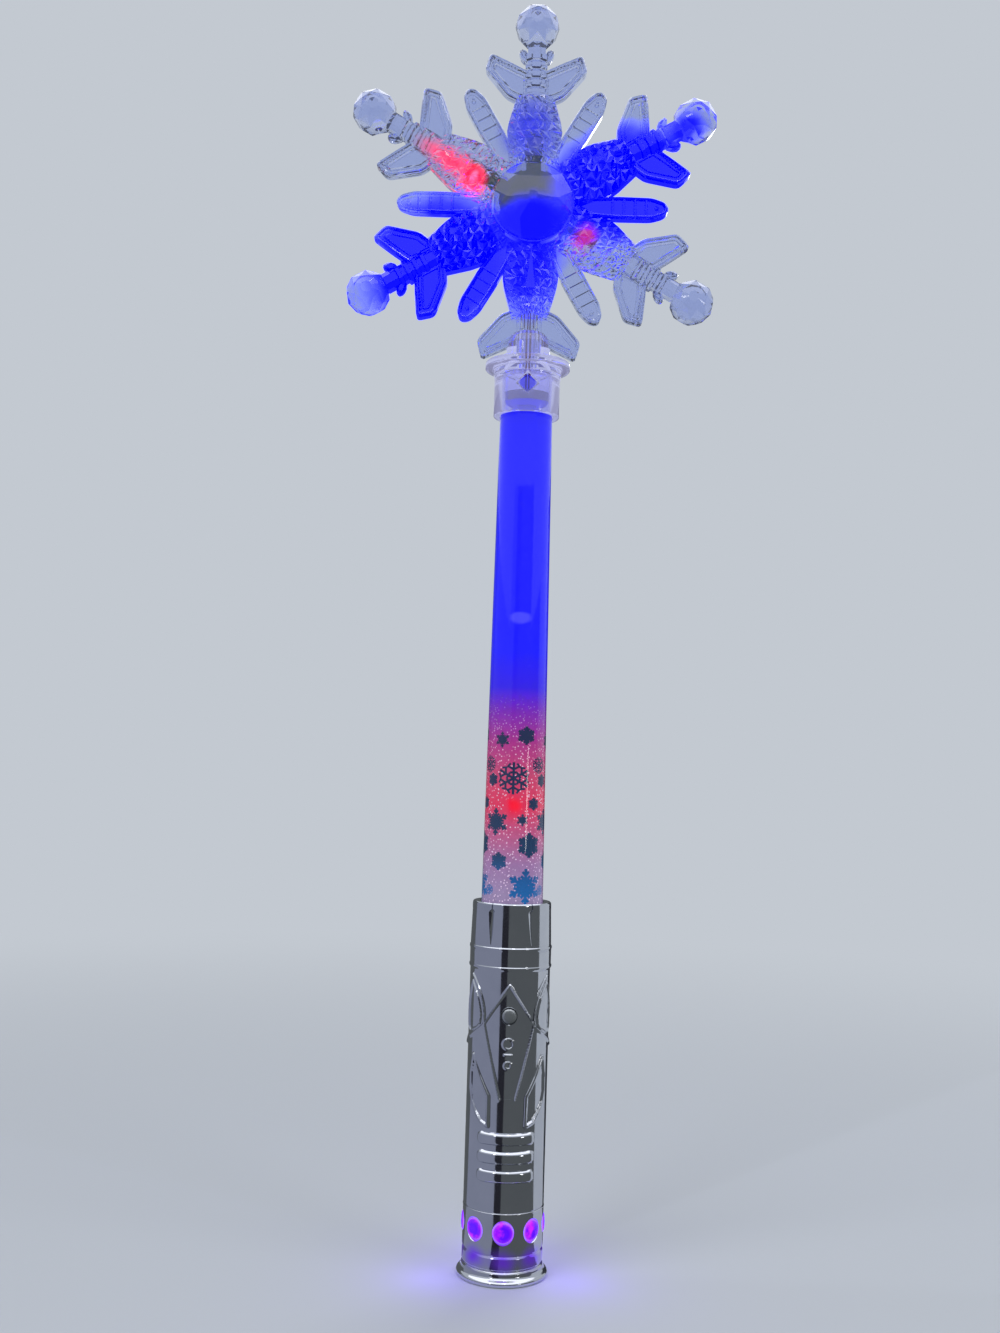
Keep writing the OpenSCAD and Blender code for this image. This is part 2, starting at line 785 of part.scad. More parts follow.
module main_board() {
    color(board_green) difference() {
        translate([-board_w / 2, board_y, z_switch])
            cube([board_w, board_t, z_band - board_top_gap - z_switch]);
        for (side = [-1, 1]) along_y(side * screw_x, z_screw, board_y - cut, board_y + board_t + cut,
            front_boss_d + 2 * board_hole_gap);
    }
}

module control_chip() {
    color([0.1, 0.1, 0.1]) translate([-chip_w / 2, board_y + board_t, z_switch + chip_rise])
        cube([chip_w, chip_t, chip_h]);
}

module key_switch() {
    color([0.15, 0.15, 0.15]) difference() {
        translate([-switch_w / 2, switch_front, z_button - switch_w / 2])
            cube([switch_w, switch_h, switch_w]);
        along_y(0, z_button, switch_front - cut, plunger_back + button_travel + plunger_end_gap,
            plunger_d + 2 * plunger_gap);
    }
}

module switch_plunger() {
    color("gold") along_y(0, z_button, plunger_front, plunger_back, plunger_d);
}

// Round button with a flange that stops it from inside
module push_button() {
    color(chrome) {
        along_y(0, z_button, button_front, button_back, button_d);
        along_y(0, z_button, button_back - button_flange_t, button_back, 2 * button_flange_r);
    }
}

// Slot for the lamp strip through a disc of height h that stands at z
module strip_slot(z, h, depth) {
    translate([-strip_w / 2 - seat_gap, strip_y - seat_gap, z - cut])
        cube([strip_w + 2 * seat_gap, depth + 2 * seat_gap, h + 2 * cut]);
}

module strip_holder() {
    color("white") difference() {
        translate([0, 0, z_tube]) cylinder(h = holder_h, r = holder_r);
        strip_slot(z_tube, holder_h, strip_t);
    }
}

module strip_guide() {
    color("white") difference() {
        translate([0, 0, z_guide]) cylinder(h = guide_h, r = guide_r);
        strip_slot(z_guide, guide_h, strip_t + lead_d);
    }
}

module strip_leads() {
    color("firebrick") for (side = [-1, 1])
        along_y(side * strip_lead_x, z_strip + strip_lead_drop / 2, board_y + board_t, strip_y, strip_lead_d);
}

module lamp_strip() {
    color("white") translate([-strip_w / 2, strip_y, z_strip])
        cube([strip_w, strip_t, z_strip_top - z_strip]);
}

module strip_lamps() {
    color(lamp_white) for (i = [0 : lamp_count - 1])
        let (z = z_tube + tube_len * (lamp_first_share + i * lamp_pitch_share))
        translate([-lamp_w / 2, strip_y - lamp_h, z - lamp_w / 2]) cube([lamp_w, lamp_h, lamp_w]);
}

// Thin printed film rolled inside the tube
module printed_film() {
    z0 = z_tube + holder_h + seat_gap;
    z1 = z_neck + film_lap;
    r0 = tube_r(z0) - tube_wall - film_gap;
    r1 = tube_r(z1) - tube_wall - film_gap;
    color([0.2, 0.2, 0.9, 0.6]) turned([[r0 - film_t, z0], [r0, z0], [r1, z1], [r1 - film_t, z1]]);
}

// Diamond on the neck, smaller all round by gap
module snap_diamond(gap) {
    polygon([[snap_w / 2 - gap, z_snap], [0, z_snap + snap_h / 2 - gap],
        [gap - snap_w / 2, z_snap], [0, z_snap - snap_h / 2 + gap]]);
}

module light_tube() {
    r0 = tube_r(z_tube);
    r1 = tube_r(z_tube_top);
    rz = tube_r(z_snap);
    flange_r = bore_r - tube_flange_gap;
    color([0.3, 0.3, 1, 0.4]) union() {
        turned([[r0 - tube_wall, z_tube], [flange_r, z_tube], [flange_r, z_tube + tube_flange_h],
            [tube_r(z_tube + tube_flange_h), z_tube + tube_flange_h], [r1, z_tube_top],
            [r1 - tube_wall, z_tube_top]]);
        translate([0, lug_inset - neck_r, 0]) rotate([-90, 0, 0]) mirror([0, 1, 0])
            linear_extrude(neck_r - lug_inset - rz + tube_wall * lug_root_share) snap_diamond(2 * seat_gap);
    }
}

// Clear cup on the tube's top: skirt, flange, and a boss with a socket for the snowflake's stem
module neck_collar() {
    boss_r = boss_d / 2;
    slot_half = leaf_half_h + leaf_slot_gap;
    near = arm_reach * leaf_shares[1];
    far = arm_reach * leaf_shares[2];
    leaf_edge = near[0] + (boss_r - near[1]) * (far[0] - near[0]) / (far[1] - near[1]);
    dome = [for (i = [0 : boss_steps]) let (a = 90 * i / boss_steps)
        [boss_r, z_boss] + boss_round * [cos(a) - 1, sin(a) - 1]];
    color(clear) difference() {
        turned(concat([[neck_bore_r, z_neck], [neck_r, z_neck], [neck_r, z_neck_flange],
            [neck_flange_r, z_neck_flange], [neck_flange_r, z_neck_top], [boss_r, z_neck_top]], dome,
            [[wire_hole_r, z_boss], [wire_hole_r, z_roof], [neck_bore_r, z_roof]]));
        translate([-stem_w / 2 - seat_gap, -stem_half_t - seat_gap, z_socket])
            cube([stem_w + 2 * seat_gap, 2 * (stem_half_t + seat_gap), boss_h]);
        translate([-boss_d, -slot_half, z_hub - leaf_edge - leaf_slot_gap])
            cube([2 * boss_d, 2 * slot_half, boss_h]);
        translate([0, -neck_r - cut, 0]) rotate([-90, 0, 0]) mirror([0, 1, 0])
            linear_extrude(neck_r) snap_diamond(0);
    }
}

module head_leads() {
    z0 = z_strip_top - head_lead_start;
    z1 = z_hub - finger_reach + head_lead_lap;
    color("firebrick") for (side = [-1, 1])
        translate([side * head_lead_x, lead_y, z0]) cylinder(h = z1 - z0, d = lead_d);
}

// Turns a drawing that lies flat, with its top along +Y, up into the plane of the snowflake
module in_head() {
    translate([0, 0, z_hub]) rotate([90, 0, 0]) children();
}

// Repeats along the arms, the first one upwards
module at_arms(shift) {
    for (k = [0 : arm_count - 1]) rotate([0, 0, 90 + (k + shift) * 360 / arm_count]) children();
}

// Board outline: a disc with a finger into each arm
module head_outline(gap) {
    circle(d = head_disc_d + 2 * gap);
    at_arms(0) translate([0, -finger_w / 2 - gap]) square([finger_reach + gap, finger_w + 2 * gap]);
}

module head_board() {
    color(board_green) in_head() translate([0, 0, -head_board_t / 2])
        linear_extrude(head_board_t) head_outline(0);
}

module head_lamps() {
    color(lamp_white) in_head() at_arms(0)
        translate([head_lamp_r - head_lamp_w / 2, -head_lamp_w / 2, head_board_t / 2])
            cube([head_lamp_w, head_lamp_w, head_lamp_h]);
}

// Thin slice of an arm: a flat foot, upright sides and a ridge
module arm_slice(x, w, side, ridge, t) {
    translate([x, 0, 0]) rotate([90, 0, 90]) linear_extrude(t)
        polygon([[-w / 2, -cut], [w / 2, -cut], [w / 2, side], [0, ridge], [-w / 2, side]]);
}

// Arm from the hub to x1: a broad crystal bed, then a slim stub with bands round it
module arm(x1, banded) {
    ridges = [hub_half_h - ridge_drop, hub_half_h - ridge_drop, bed_tip_ridge];
    hull() for (i = [0 : len(bed_shares) - 1])
        arm_slice(arm_reach * bed_shares[i][0], arm_reach * bed_shares[i][1], bed_side, ridges[i], skin);
    translate([arm_reach * stub_share, 0, 0])
        arm_slice(0, stub_w, stub_side, stub_ridge, x1 - arm_reach * stub_share);
    if (banded) for (s = band_shares)
        arm_slice(arm_reach * s - band_t / 2, stub_w + 2 * band_out, stub_side + band_out / 2,
            stub_ridge + band_out, band_t);
}

// Bevelled plate with a raised rim round a sunk panel
module rimmed_leaf(p, h) {
    difference() {
        translate([0, 0, -cut]) hull() {
            linear_extrude(h + cut - leaf_bevel) polygon(p);
            linear_extrude(h + cut) polygon(inset(p, leaf_bevel));
        }
        translate([0, 0, h - leaf_recess]) linear_extrude(leaf_recess + cut) polygon(inset(p, leaf_rim));
    }
}

// One half of the snowflake, lying on its parting plane, which trims every piece at once
module snow_half() {
    leaf = arm_reach * leaf_shares;
    spike = arm_reach * spike_shares;
    stem_top = stem_reach - stem_lap;
    $fn = hull_fn;
    difference() {
        union() {
            translate([0, 0, -cut]) cylinder(h = hub_half_h + cut, d = hub_d);
            for (k = [0 : arm_count - 1]) rotate([0, 0, 90 + k * 360 / arm_count]) {
                if (k == stem_arm) {
                    arm(stem_top + skin, false);
                    translate([stem_top, -stem_w / 2, -cut])
                        cube([stem_reach - stem_top, stem_w, stem_half_t + cut]);
                } else {
                    arm(arm_reach - ball_d / 2 + ball_bite, true);
                    translate([arm_reach, 0, 0]) rotate([0, 90, 0]) sphere(d = ball_d, $fn = ball_facets);
                }
                rimmed_leaf(leaf, leaf_half_h);
                rimmed_leaf(mirrored(leaf), leaf_half_h);
            }
            at_arms(1 / 2) rimmed_leaf(spike, leaf_half_h);
            difference() {
                cylinder(h = hub_half_h + bezel_h, d = hub_d);
                cylinder(h = hub_half_h + bezel_h + cut, d = hub_d - 2 * bezel_w);
            }
        }
        translate([-2 * arm_reach, -2 * arm_reach, -ball_d]) cube([4 * arm_reach, 4 * arm_reach, ball_d]);
        translate([0, 0, -cut]) linear_extrude(pocket_h + cut) head_outline(pocket_gap);
        rotate([90, 0, 0]) cylinder(h = stem_reach + cut, r = wire_hole_r);
    }
}

module snowflake_front() {
    color(clear) in_head() snow_half();
}

module snowflake_back() {
    color(clear) mirror([0, 1, 0]) in_head() snow_half();
}

// Faceted dome in the hub's bezel
module gem() {
    r = hub_d / 2 - bezel_w - gem_gap;
    translate([0, 0, hub_half_h]) hull() {
        rotate([0, 0, 180 / gem_facets]) cylinder(h = gem_h * gem_girdle_share, r = r, $fn = gem_facets);
        cylinder(h = gem_h * gem_crown_share, r = r * gem_shoulder_share, $fn = gem_crown_facets);
        cylinder(h = gem_h, r = r * gem_tip_share, $fn = gem_crown_facets);
    }
}

module hub_gem_front() {
    color(clear) in_head() gem();
}

module hub_gem_back() {
    color(clear) mirror([0, 1, 0]) in_head() gem();
}

front_shell();
rear_shell();
battery_door();
door_screw();
shell_screws();
window_band();
jewel_ring();
base_cap();
base_board();
base_lamps();
base_leads();
battery_tray();
battery_cells();
battery_springs();
battery_contacts();
battery_leads();
main_board();
control_chip();
key_switch();
switch_plunger();
push_button();
strip_holder();
strip_leads();
lamp_strip();
strip_lamps();
strip_guide();
printed_film();
light_tube();
neck_collar();
head_leads();
head_board();
head_lamps();
snowflake_front();
snowflake_back();
hub_gem_front();
hub_gem_back();
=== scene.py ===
"""Looks of a light-up snowflake wand: a chromed handle, a lit tube and a clear snowflake head.

Lengths are in millimetres until a mesh is made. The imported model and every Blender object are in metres.
"""
import logging
import math
from dataclasses import dataclass, field
from enum import Enum

import bpy
import numpy as np
from mathutils import Matrix, Vector


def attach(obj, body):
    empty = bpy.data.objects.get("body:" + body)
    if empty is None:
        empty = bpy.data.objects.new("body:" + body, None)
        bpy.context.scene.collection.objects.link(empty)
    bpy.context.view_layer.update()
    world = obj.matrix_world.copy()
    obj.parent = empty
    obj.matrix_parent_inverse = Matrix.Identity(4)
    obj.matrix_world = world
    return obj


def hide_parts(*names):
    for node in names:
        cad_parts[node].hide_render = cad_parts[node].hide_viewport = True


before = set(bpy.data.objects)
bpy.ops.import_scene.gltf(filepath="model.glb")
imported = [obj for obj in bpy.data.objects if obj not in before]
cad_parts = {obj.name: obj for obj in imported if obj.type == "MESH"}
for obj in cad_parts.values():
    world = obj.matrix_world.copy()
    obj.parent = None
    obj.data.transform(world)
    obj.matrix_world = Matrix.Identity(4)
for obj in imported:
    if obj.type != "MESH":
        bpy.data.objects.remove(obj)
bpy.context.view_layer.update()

LOG = logging.getLogger("wand")
MM = 0.001
TURN = 2.0 * math.pi

Pair = tuple[float, float]
Pairs = tuple[Pair, ...]
Place = tuple[float, float, float]
Colour = tuple[float, float, float, float]
Stops = tuple[tuple[float, str], ...]
Socket = bpy.types.NodeSocket
Tree = bpy.types.NodeTree

# Sizes that several sub-assemblies share.
GRIP_R = 13.0
BORE_R = 11.6
WINDOWS = 8
WINDOW_Z = 16.3
LUG_Z = 288.66
LUG_DIAMOND: Pairs = ((3.7, 0.0), (0.0, 3.8), (-3.7, 0.0), (0.0, -3.8))
HUB_Z = 351.7
REACH = 63.0

# Rounded corners: points on each, the most of a side that one takes up, and the least cut.
CORNER_POINTS = 4
CORNER_SHARE = 0.45
LEAST_CUT = 0.01
TINY = 1e-9

# Node settings that come up often, the numbers of a Mix node's colour sockets, and the usual span of a noise.
LENGTH = {"operation": "LENGTH"}
SMOOTH = {"interpolation_type": "SMOOTHSTEP"}
COLOURS = {"data_type": "RGBA"}
SHARE, FIRST, SECOND, MIXED = 0, 6, 7, 2
NOISE_LOW, NOISE_HIGH = 0.3, 0.7
# Finer layers in the noise of a grain and of a sway, and how strong each layer of a grain is.
GRAIN_DETAIL, SWAY_DETAIL = 3.0, 2.0
GRAIN_ROUGHNESS = 0.6
BLACK: Colour = (0.0, 0.0, 0.0, 1.0)


class Body(Enum):
    """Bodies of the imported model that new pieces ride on."""

    WAND = "wand"
    BUTTON = "button"
    DOOR = "door"


class Slot(Enum):
    """Material slots of the record, one named for each kind of new piece."""

    CHROME = "chrome_abs"
    JEWEL = "violet_clear"
    TUBE = "tube_acrylic"
    PRINT = "printed_pet"
    NECK = "neck_styrene"
    SNOW = "snow_styrene"


class Cut(Enum):
    """Ways to combine two closed solids."""

    ADD = "UNION"
    REMOVE = "DIFFERENCE"
    SHARE = "INTERSECT"


class LampKind(Enum):
    """Kinds of studio lamp, with the height in metres that each is aimed at."""

    SOFT = 0.2
    GLINT = 0.35
    SPILL = 0.016


class FlakeKind(Enum):
    """Printed flakes: a bar of an arm as start share and degrees, end share and degrees, and half width."""

    STAR = (
        (0.0, 0.0, 1.0, 0.0, 0.075), (0.42, -30.0, 0.42, 30.0, 0.07), (0.55, 0.0, 0.86, 26.0, 0.065),
        (0.55, 0.0, 0.86, -26.0, 0.065), (0.78, -30.0, 0.95, -12.0, 0.06), (0.78, 30.0, 0.95, 12.0, 0.06),
    )
    SPIKY = (
        (0.0, 0.0, 1.0, 0.0, 0.085), (0.0, 30.0, 0.5, 30.0, 0.08), (0.34, 0.0, 0.66, 24.0, 0.075),
        (0.34, 0.0, 0.66, -24.0, 0.075), (0.62, 0.0, 0.86, 13.0, 0.07), (0.62, 0.0, 0.86, -13.0, 0.07),
    )
    CHUNKY = (
        (0.0, 0.0, 1.0, 0.0, 0.15), (0.0, 30.0, 0.62, 30.0, 0.13), (0.45, 0.0, 0.85, 22.0, 0.12),
        (0.45, 0.0, 0.85, -22.0, 0.12),
    )


# Helpers for colours, nodes and meshes


def to_linear(colour: str) -> Colour:
    """Turns an sRGB hex colour into linear RGBA.

    A channel c up to 0.04045 is divided by 12.92. Any other becomes ((c + 0.055) / 1.055) to the power 2.4.

    Args:
        colour: Hex colour such as "#C8CED6".

    Returns:
        Linear red, green and blue, with an alpha of 1.
    """
    channel = np.array([int(colour[i : i + 2], 16) for i in (1, 3, 5)]) / 255.0
    linear = np.where(channel <= 0.04045, channel / 12.92, ((channel + 0.055) / 1.055) ** 2.4)
    return (*linear.tolist(), 1.0)


def fill(tree: Tree, node: bpy.types.Node, inputs: dict) -> None:
    """Fills a node's inputs: an output socket is linked, and anything else is set as a value.

    Args:
        tree: Node tree that holds the node.
        node: Node to fill.
        inputs: Values or output sockets, by input name or number.
    """
    for name, value in inputs.items():
        if isinstance(value, Socket):
            tree.links.new(value, node.inputs[name])
        else:
            node.inputs[name].default_value = value


def add_node(
    tree: Tree, kind: str, settings: dict | None = None, inputs: dict | None = None
) -> bpy.types.Node:
    """Adds a node, sets its properties, and fills its inputs.

    Args:
        tree: Node tree that gets the node.
        kind: Blender's type name of the node.
        settings: Properties of the node by name.
        inputs: Values, or output sockets to link from, by input name or number.

    Returns:
        The new node.
    """
    node = tree.nodes.new(kind)
    for name, value in (settings or {}).items():
        setattr(node, name, value)
    fill(tree, node, inputs or {})
    return node


def set_stops(ramp: bpy.types.ColorRamp, stops: Stops) -> None:
    """Gives a colour ramp its stops.

    Args:
        ramp: Colour ramp of a new node.
        stops: Place and colour of each stop, from 0 up to 1.
    """
    while len(ramp.elements) < len(stops):
        ramp.elements.new(1.0)
    for element, (place, colour) in zip(ramp.elements, stops):
        element.position = place
        element.color = to_linear(colour)


@dataclass
class Solid:
    """Surface, closed for every piece: corner points in millimetres, and faces grouped by their corner count.

    Only the studio's floor and cards are open ones.
    """

    points: np.ndarray
    faces: list[np.ndarray]

    @classmethod
    def joined(cls, parts: list["Solid"]) -> "Solid":
        """Puts separate solids into one; the face numbers of each move up by the points before it.

        Args:
            parts: Solids that don't overlap, or only cross as thin printed bars do.

        Returns:
            One solid with all their points and faces.
        """
        shifts = np.cumsum([0] + [len(part.points) for part in parts[:-1]])
        faces = [rows + shift for part, shift in zip(parts, shifts) for rows in part.faces]
        return cls(np.concatenate([part.points for part in parts]), faces)

    def placed(self, turn: np.ndarray, shift: Place = (0.0, 0.0, 0.0)) -> "Solid":
        """Returns a copy turned by a matrix and then shifted."""
        return Solid(self.points @ np.asarray(turn).T + np.asarray(shift), self.faces)

    def mirrored(self) -> "Solid":
        """Returns a copy mirrored along Y, with its faces turned round so that they still point out."""
        return Solid(self.points * np.array([1.0, -1.0, 1.0]), [rows[:, ::-1] for rows in self.faces])

    def to_object(self, name: str) -> bpy.types.Object:
        """Puts the solid into a mesh object at the origin.

        Args:
            name: Name of the object and its mesh.

        Returns:
            The linked object.
        """
        corners = np.concatenate([rows.ravel() for rows in self.faces]).astype(np.int32)
        counts = np.concatenate([np.full(len(rows), rows.shape[1]) for rows in self.faces])
        starts = np.concatenate([[0], np.cumsum(counts)[:-1]]).astype(np.int32)
        mesh = bpy.data.meshes.new(name)
        mesh.vertices.add(len(self.points))
        mesh.vertices.foreach_set("co", (self.points * MM).astype(np.float32).ravel())
        mesh.loops.add(len(corners))
        mesh.loops.foreach_set("vertex_index", corners)
        mesh.polygons.add(len(starts))
        mesh.polygons.foreach_set("loop_start", starts)
        mesh.update(calc_edges=True)
        mesh.validate()
        piece = bpy.data.objects.new(name, mesh)
        bpy.context.scene.collection.objects.link(piece)
        return piece


def strip_quads(rows: int, columns: int, closed: bool) -> np.ndarray:
    """Quads between rows of points whose columns run round; a closed strip joins its last row to its first.

    Args:
        rows: Number of rows.
        columns: Number of points in each row.
        closed: Whether the rows come round to the first one.

    Returns:
        Corner numbers, four to a face.
    """
    row, column = np.meshgrid(np.arange(rows if closed else rows - 1), np.arange(columns), indexing="ij")
    here, above, beside = row * columns, (row + 1) % rows * columns, (column + 1) % columns
    return np.stack([here + column, here + beside, above + beside, above + column], -1).reshape(-1, 4)


def loft(loops: np.ndarray) -> Solid:
    """Skin over loops that run anticlockwise when seen from the end, closed by a flat face at each end.

    Args:
        loops: Points as rows, columns and coordinates.

    Returns:
        The closed solid.
    """
    rows, columns = loops.shape[:2]
    first = np.arange(columns)[None, ::-1]
    last = np.arange(columns)[None, :] + (rows - 1) * columns
    return Solid(loops.reshape(-1, 3), [strip_quads(rows, columns, False), first, last])


def hoop(loops: np.ndarray) -> Solid:
    """Returns a skin over loops, as rows, columns and coordinates, whose last one joins the first."""
    return Solid(loops.reshape(-1, 3), [strip_quads(loops.shape[0], loops.shape[1], True)])


def spun(profile: Pairs | np.ndarray, segments: int = 96) -> np.ndarray:
    """Rings of a turned shape: a profile point (r, z) goes to (r cos a, r sin a, z) for equal steps of a.

    Args:
        profile: Radius and height pairs, up the outside.
        segments: Points in each ring.

    Returns:
        Loops for loft or hoop.
    """
    angle = np.arange(segments) * TURN / segments
    radius, height = np.asarray(profile, float).T
    flat = radius[:, None, None] * np.stack([np.cos(angle), np.sin(angle)], -1)[None]
    return np.concatenate([flat, np.broadcast_to(height[:, None, None], (*flat.shape[:2], 1))], -1)


def about_z(turn: float) -> np.ndarray:
    """Returns the matrix that turns by an angle in radians about +Z."""
    c, s = np.cos(turn), np.sin(turn)
    return np.array([[c, -s, 0.0], [s, c, 0.0], [0.0, 0.0, 1.0]])


def eased(corners: Pairs | np.ndarray, cut: float, closed: bool = True) -> np.ndarray:
    """Rounds an outline: near a corner P it is (1-t)^2 A + 2t(1-t) P + t^2 B, A and B being on its sides.

    Args:
        corners: Corners of the outline.
        cut: Distance from each corner to A and B, held to a share of the shorter side.
        closed: Whether the outline is closed; an open one keeps its ends.

    Returns:
        Points of the rounded outline.
    """
    at = np.asarray(corners, float)
    before, after = np.roll(at, 1, 0) - at, np.roll(at, -1, 0) - at
    near, far = np.linalg.norm(before, axis=1), np.linalg.norm(after, axis=1)
    reach = np.maximum(np.minimum(cut, CORNER_SHARE * np.minimum(near, far)), LEAST_CUT)[:, None]
    start, end = at + before / near[:, None] * reach, at + after / far[:, None] * reach
    t = np.linspace(0.0, 1.0, CORNER_POINTS)[None, :, None]
    curve = (1 - t) ** 2 * start[:, None] + 2 * t * (1 - t) * at[:, None] + t**2 * end[:, None]
    if closed:
        return curve.reshape(-1, 2)
    return np.concatenate([at[:1], curve[1:-1].reshape(-1, 2), at[-1:]])


def inset(corners: np.ndarray, width: float) -> np.ndarray:
    """Moves an anticlockwise outline in: each corner by width (n + m) / (1 + n.m), n and m its side normals.

    Args:
        corners: Corners of the outline.
        width: Distance to move each side.

    Returns:
        The moved corners.
    """
    side = np.roll(corners, -1, 0) - corners
    side = side / np.linalg.norm(side, axis=1)[:, None]
    after = np.stack([-side[:, 1], side[:, 0]], -1)
    before = np.roll(after, 1, 0)
    return corners + width * (before + after) / (1 + (before * after).sum(1))[:, None]


def line_distance(u: np.ndarray, v: np.ndarray, corners: np.ndarray, closed: bool) -> np.ndarray:
    """Shortest distance from grid points to a run of straight lines, by the nearest point on each line.

    Args:
        u: First coordinates of the grid.
        v: Second coordinates of the grid.
        corners: Corners that the lines join.
        closed: Whether the last corner joins the first.

    Returns:
        Distances, shaped as the grid.
    """
    start = corners if closed else corners[:-1]
    step = np.roll(corners, -1, 0)[: len(start)] - start
    point = np.stack([u, v], -1)[..., None, :]
    share = np.clip(((point - start) * step).sum(-1) / (step * step).sum(-1), 0.0, 1.0)
    return np.linalg.norm(point - start - share[..., None] * step, axis=-1).min(-1)


def inside(u: np.ndarray, v: np.ndarray, corners: np.ndarray) -> np.ndarray:
    """Tells which grid points lie in an outline, by counting the sides that a ray along u crosses.

    Args:
        u: First coordinates of the grid.
        v: Second coordinates of the grid.
        corners: Corners of the closed outline.

    Returns:
        True where the count is odd.
    """
    here, there = corners, np.roll(corners, -1, 0)
    u, v = u[..., None], v[..., None]
    rise = np.where(there[:, 1] == here[:, 1], TINY, there[:, 1] - here[:, 1])
    reached = u < (there[:, 0] - here[:, 0]) * (v - here[:, 1]) / rise + here[:, 0]
    return (((here[:, 1] > v) != (there[:, 1] > v)) & reached).sum(-1) % 2 == 1


def bead(distance: np.ndarray, half_width: float) -> np.ndarray:
    """Returns a rounded ridge: cos squared of the distance, from 1 on the line to 0 at half_width."""
    return np.cos(np.clip(distance / half_width, 0.0, 1.0) * math.pi / 2) ** 2


def along_y(profile: Pairs | np.ndarray, x: float, z: float, segments: int = 48) -> Solid:
    """Turned solid on an axis along +Y; its profile gives radius and y.

    Args:
        profile: Radius and y pairs, with y rising.
        x: Place of the axis.
        z: Height of the axis.
        segments: Points round it.

    Returns:
        The closed solid.
    """
    upright_to_y = np.array([[1.0, 0.0, 0.0], [0.0, 0.0, 1.0], [0.0, -1.0, 0.0]])
    return loft(spun(profile, segments)).placed(upright_to_y, (x, 0.0, z))


def through_y(outline: np.ndarray, z: float, near: np.ndarray | float, far: np.ndarray | float) -> Solid:
    """Solid over an outline of x and height, from one y to another towards -Y.

    Args:
        outline: Anticlockwise x and height pairs.
        z: Height that is added to the outline's.
        near: Where it starts along Y, for all points or each.
        far: Where it ends.

    Returns:
        The closed solid.
    """
    ends = [np.broadcast_to(y, len(outline)) for y in (near, far)]
    return loft(np.stack([np.stack([outline[:, 0], y, z + outline[:, 1]], -1) for y in ends]))


def brick(low: Place, high: Place) -> Solid:
    """Plain box between two corners.

    Args:
        low: Corner with the least coordinates.
        high: Corner with the greatest.

    Returns:
        The closed box.
    """
    (x0, y0, z0), (x1, y1, z1) = low, high
    ring = np.array([[x0, y0], [x1, y0], [x1, y1], [x0, y1]])
    return loft(np.stack([np.column_stack([ring, np.full(4, z)]) for z in (z0, z1)]))


def combine(body: bpy.types.Object, tool: Solid | bpy.types.Object, way: Cut) -> None:
    """Adds a tool to an object's mesh, cuts it out, or keeps what both share.

    Args:
        body: Object whose mesh changes.
        tool: Solid or object that is used up.
        way: How the two combine.
    """
    cutter = tool.to_object("cutter") if isinstance(tool, Solid) else tool
    modifier = body.modifiers.new(way.name, "BOOLEAN")
    modifier.operation, modifier.solver, modifier.object = way.value, "MANIFOLD", cutter
    result = bpy.data.meshes.new_from_object(body.evaluated_get(bpy.context.evaluated_depsgraph_get()))
    body.modifiers.clear()
    old, used = body.data, cutter.data
    body.data = result
    bpy.data.objects.remove(cutter)
    bpy.data.meshes.remove(old)
    bpy.data.meshes.remove(used)
    result.name = body.name


def show(
    piece: bpy.types.Object, body: Body, finish: "Finish", slot: Slot, crease: float, *nodes: str
) -> None:
    """Dresses a finished piece, sets which of its edges stay sharp, puts it on its body and hides the CAD
    nodes that it stands for.

    Args:
        piece: Object to dress.
        body: Body that it rides on.
        finish: Its surface finish.
        slot: Material slot of the record; not used.
        crease: Angle in degrees past which an edge is sharp.
        nodes: CAD nodes that it stands for.
    """
    mesh = piece.data
    mesh.materials.clear()
    mesh.materials.append(finish.material())
    mesh.shade_smooth()
    mesh.set_sharp_from_angle(angle=math.radians(crease))
    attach(piece, body.value)
    if nodes:
        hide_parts(*nodes)
    LOG.info("%s: %d faces, rides on %s", piece.name, len(mesh.polygons), body.value)


# Finishes


@dataclass(frozen=True)
class GlowSpot:
    """Soft patch of lamp light: an ellipsoid, turned by degrees, that is full inside a share of its size."""

    centre: Place
    size: Place
    angle: float
    colour: str
    core: float
    strength: float


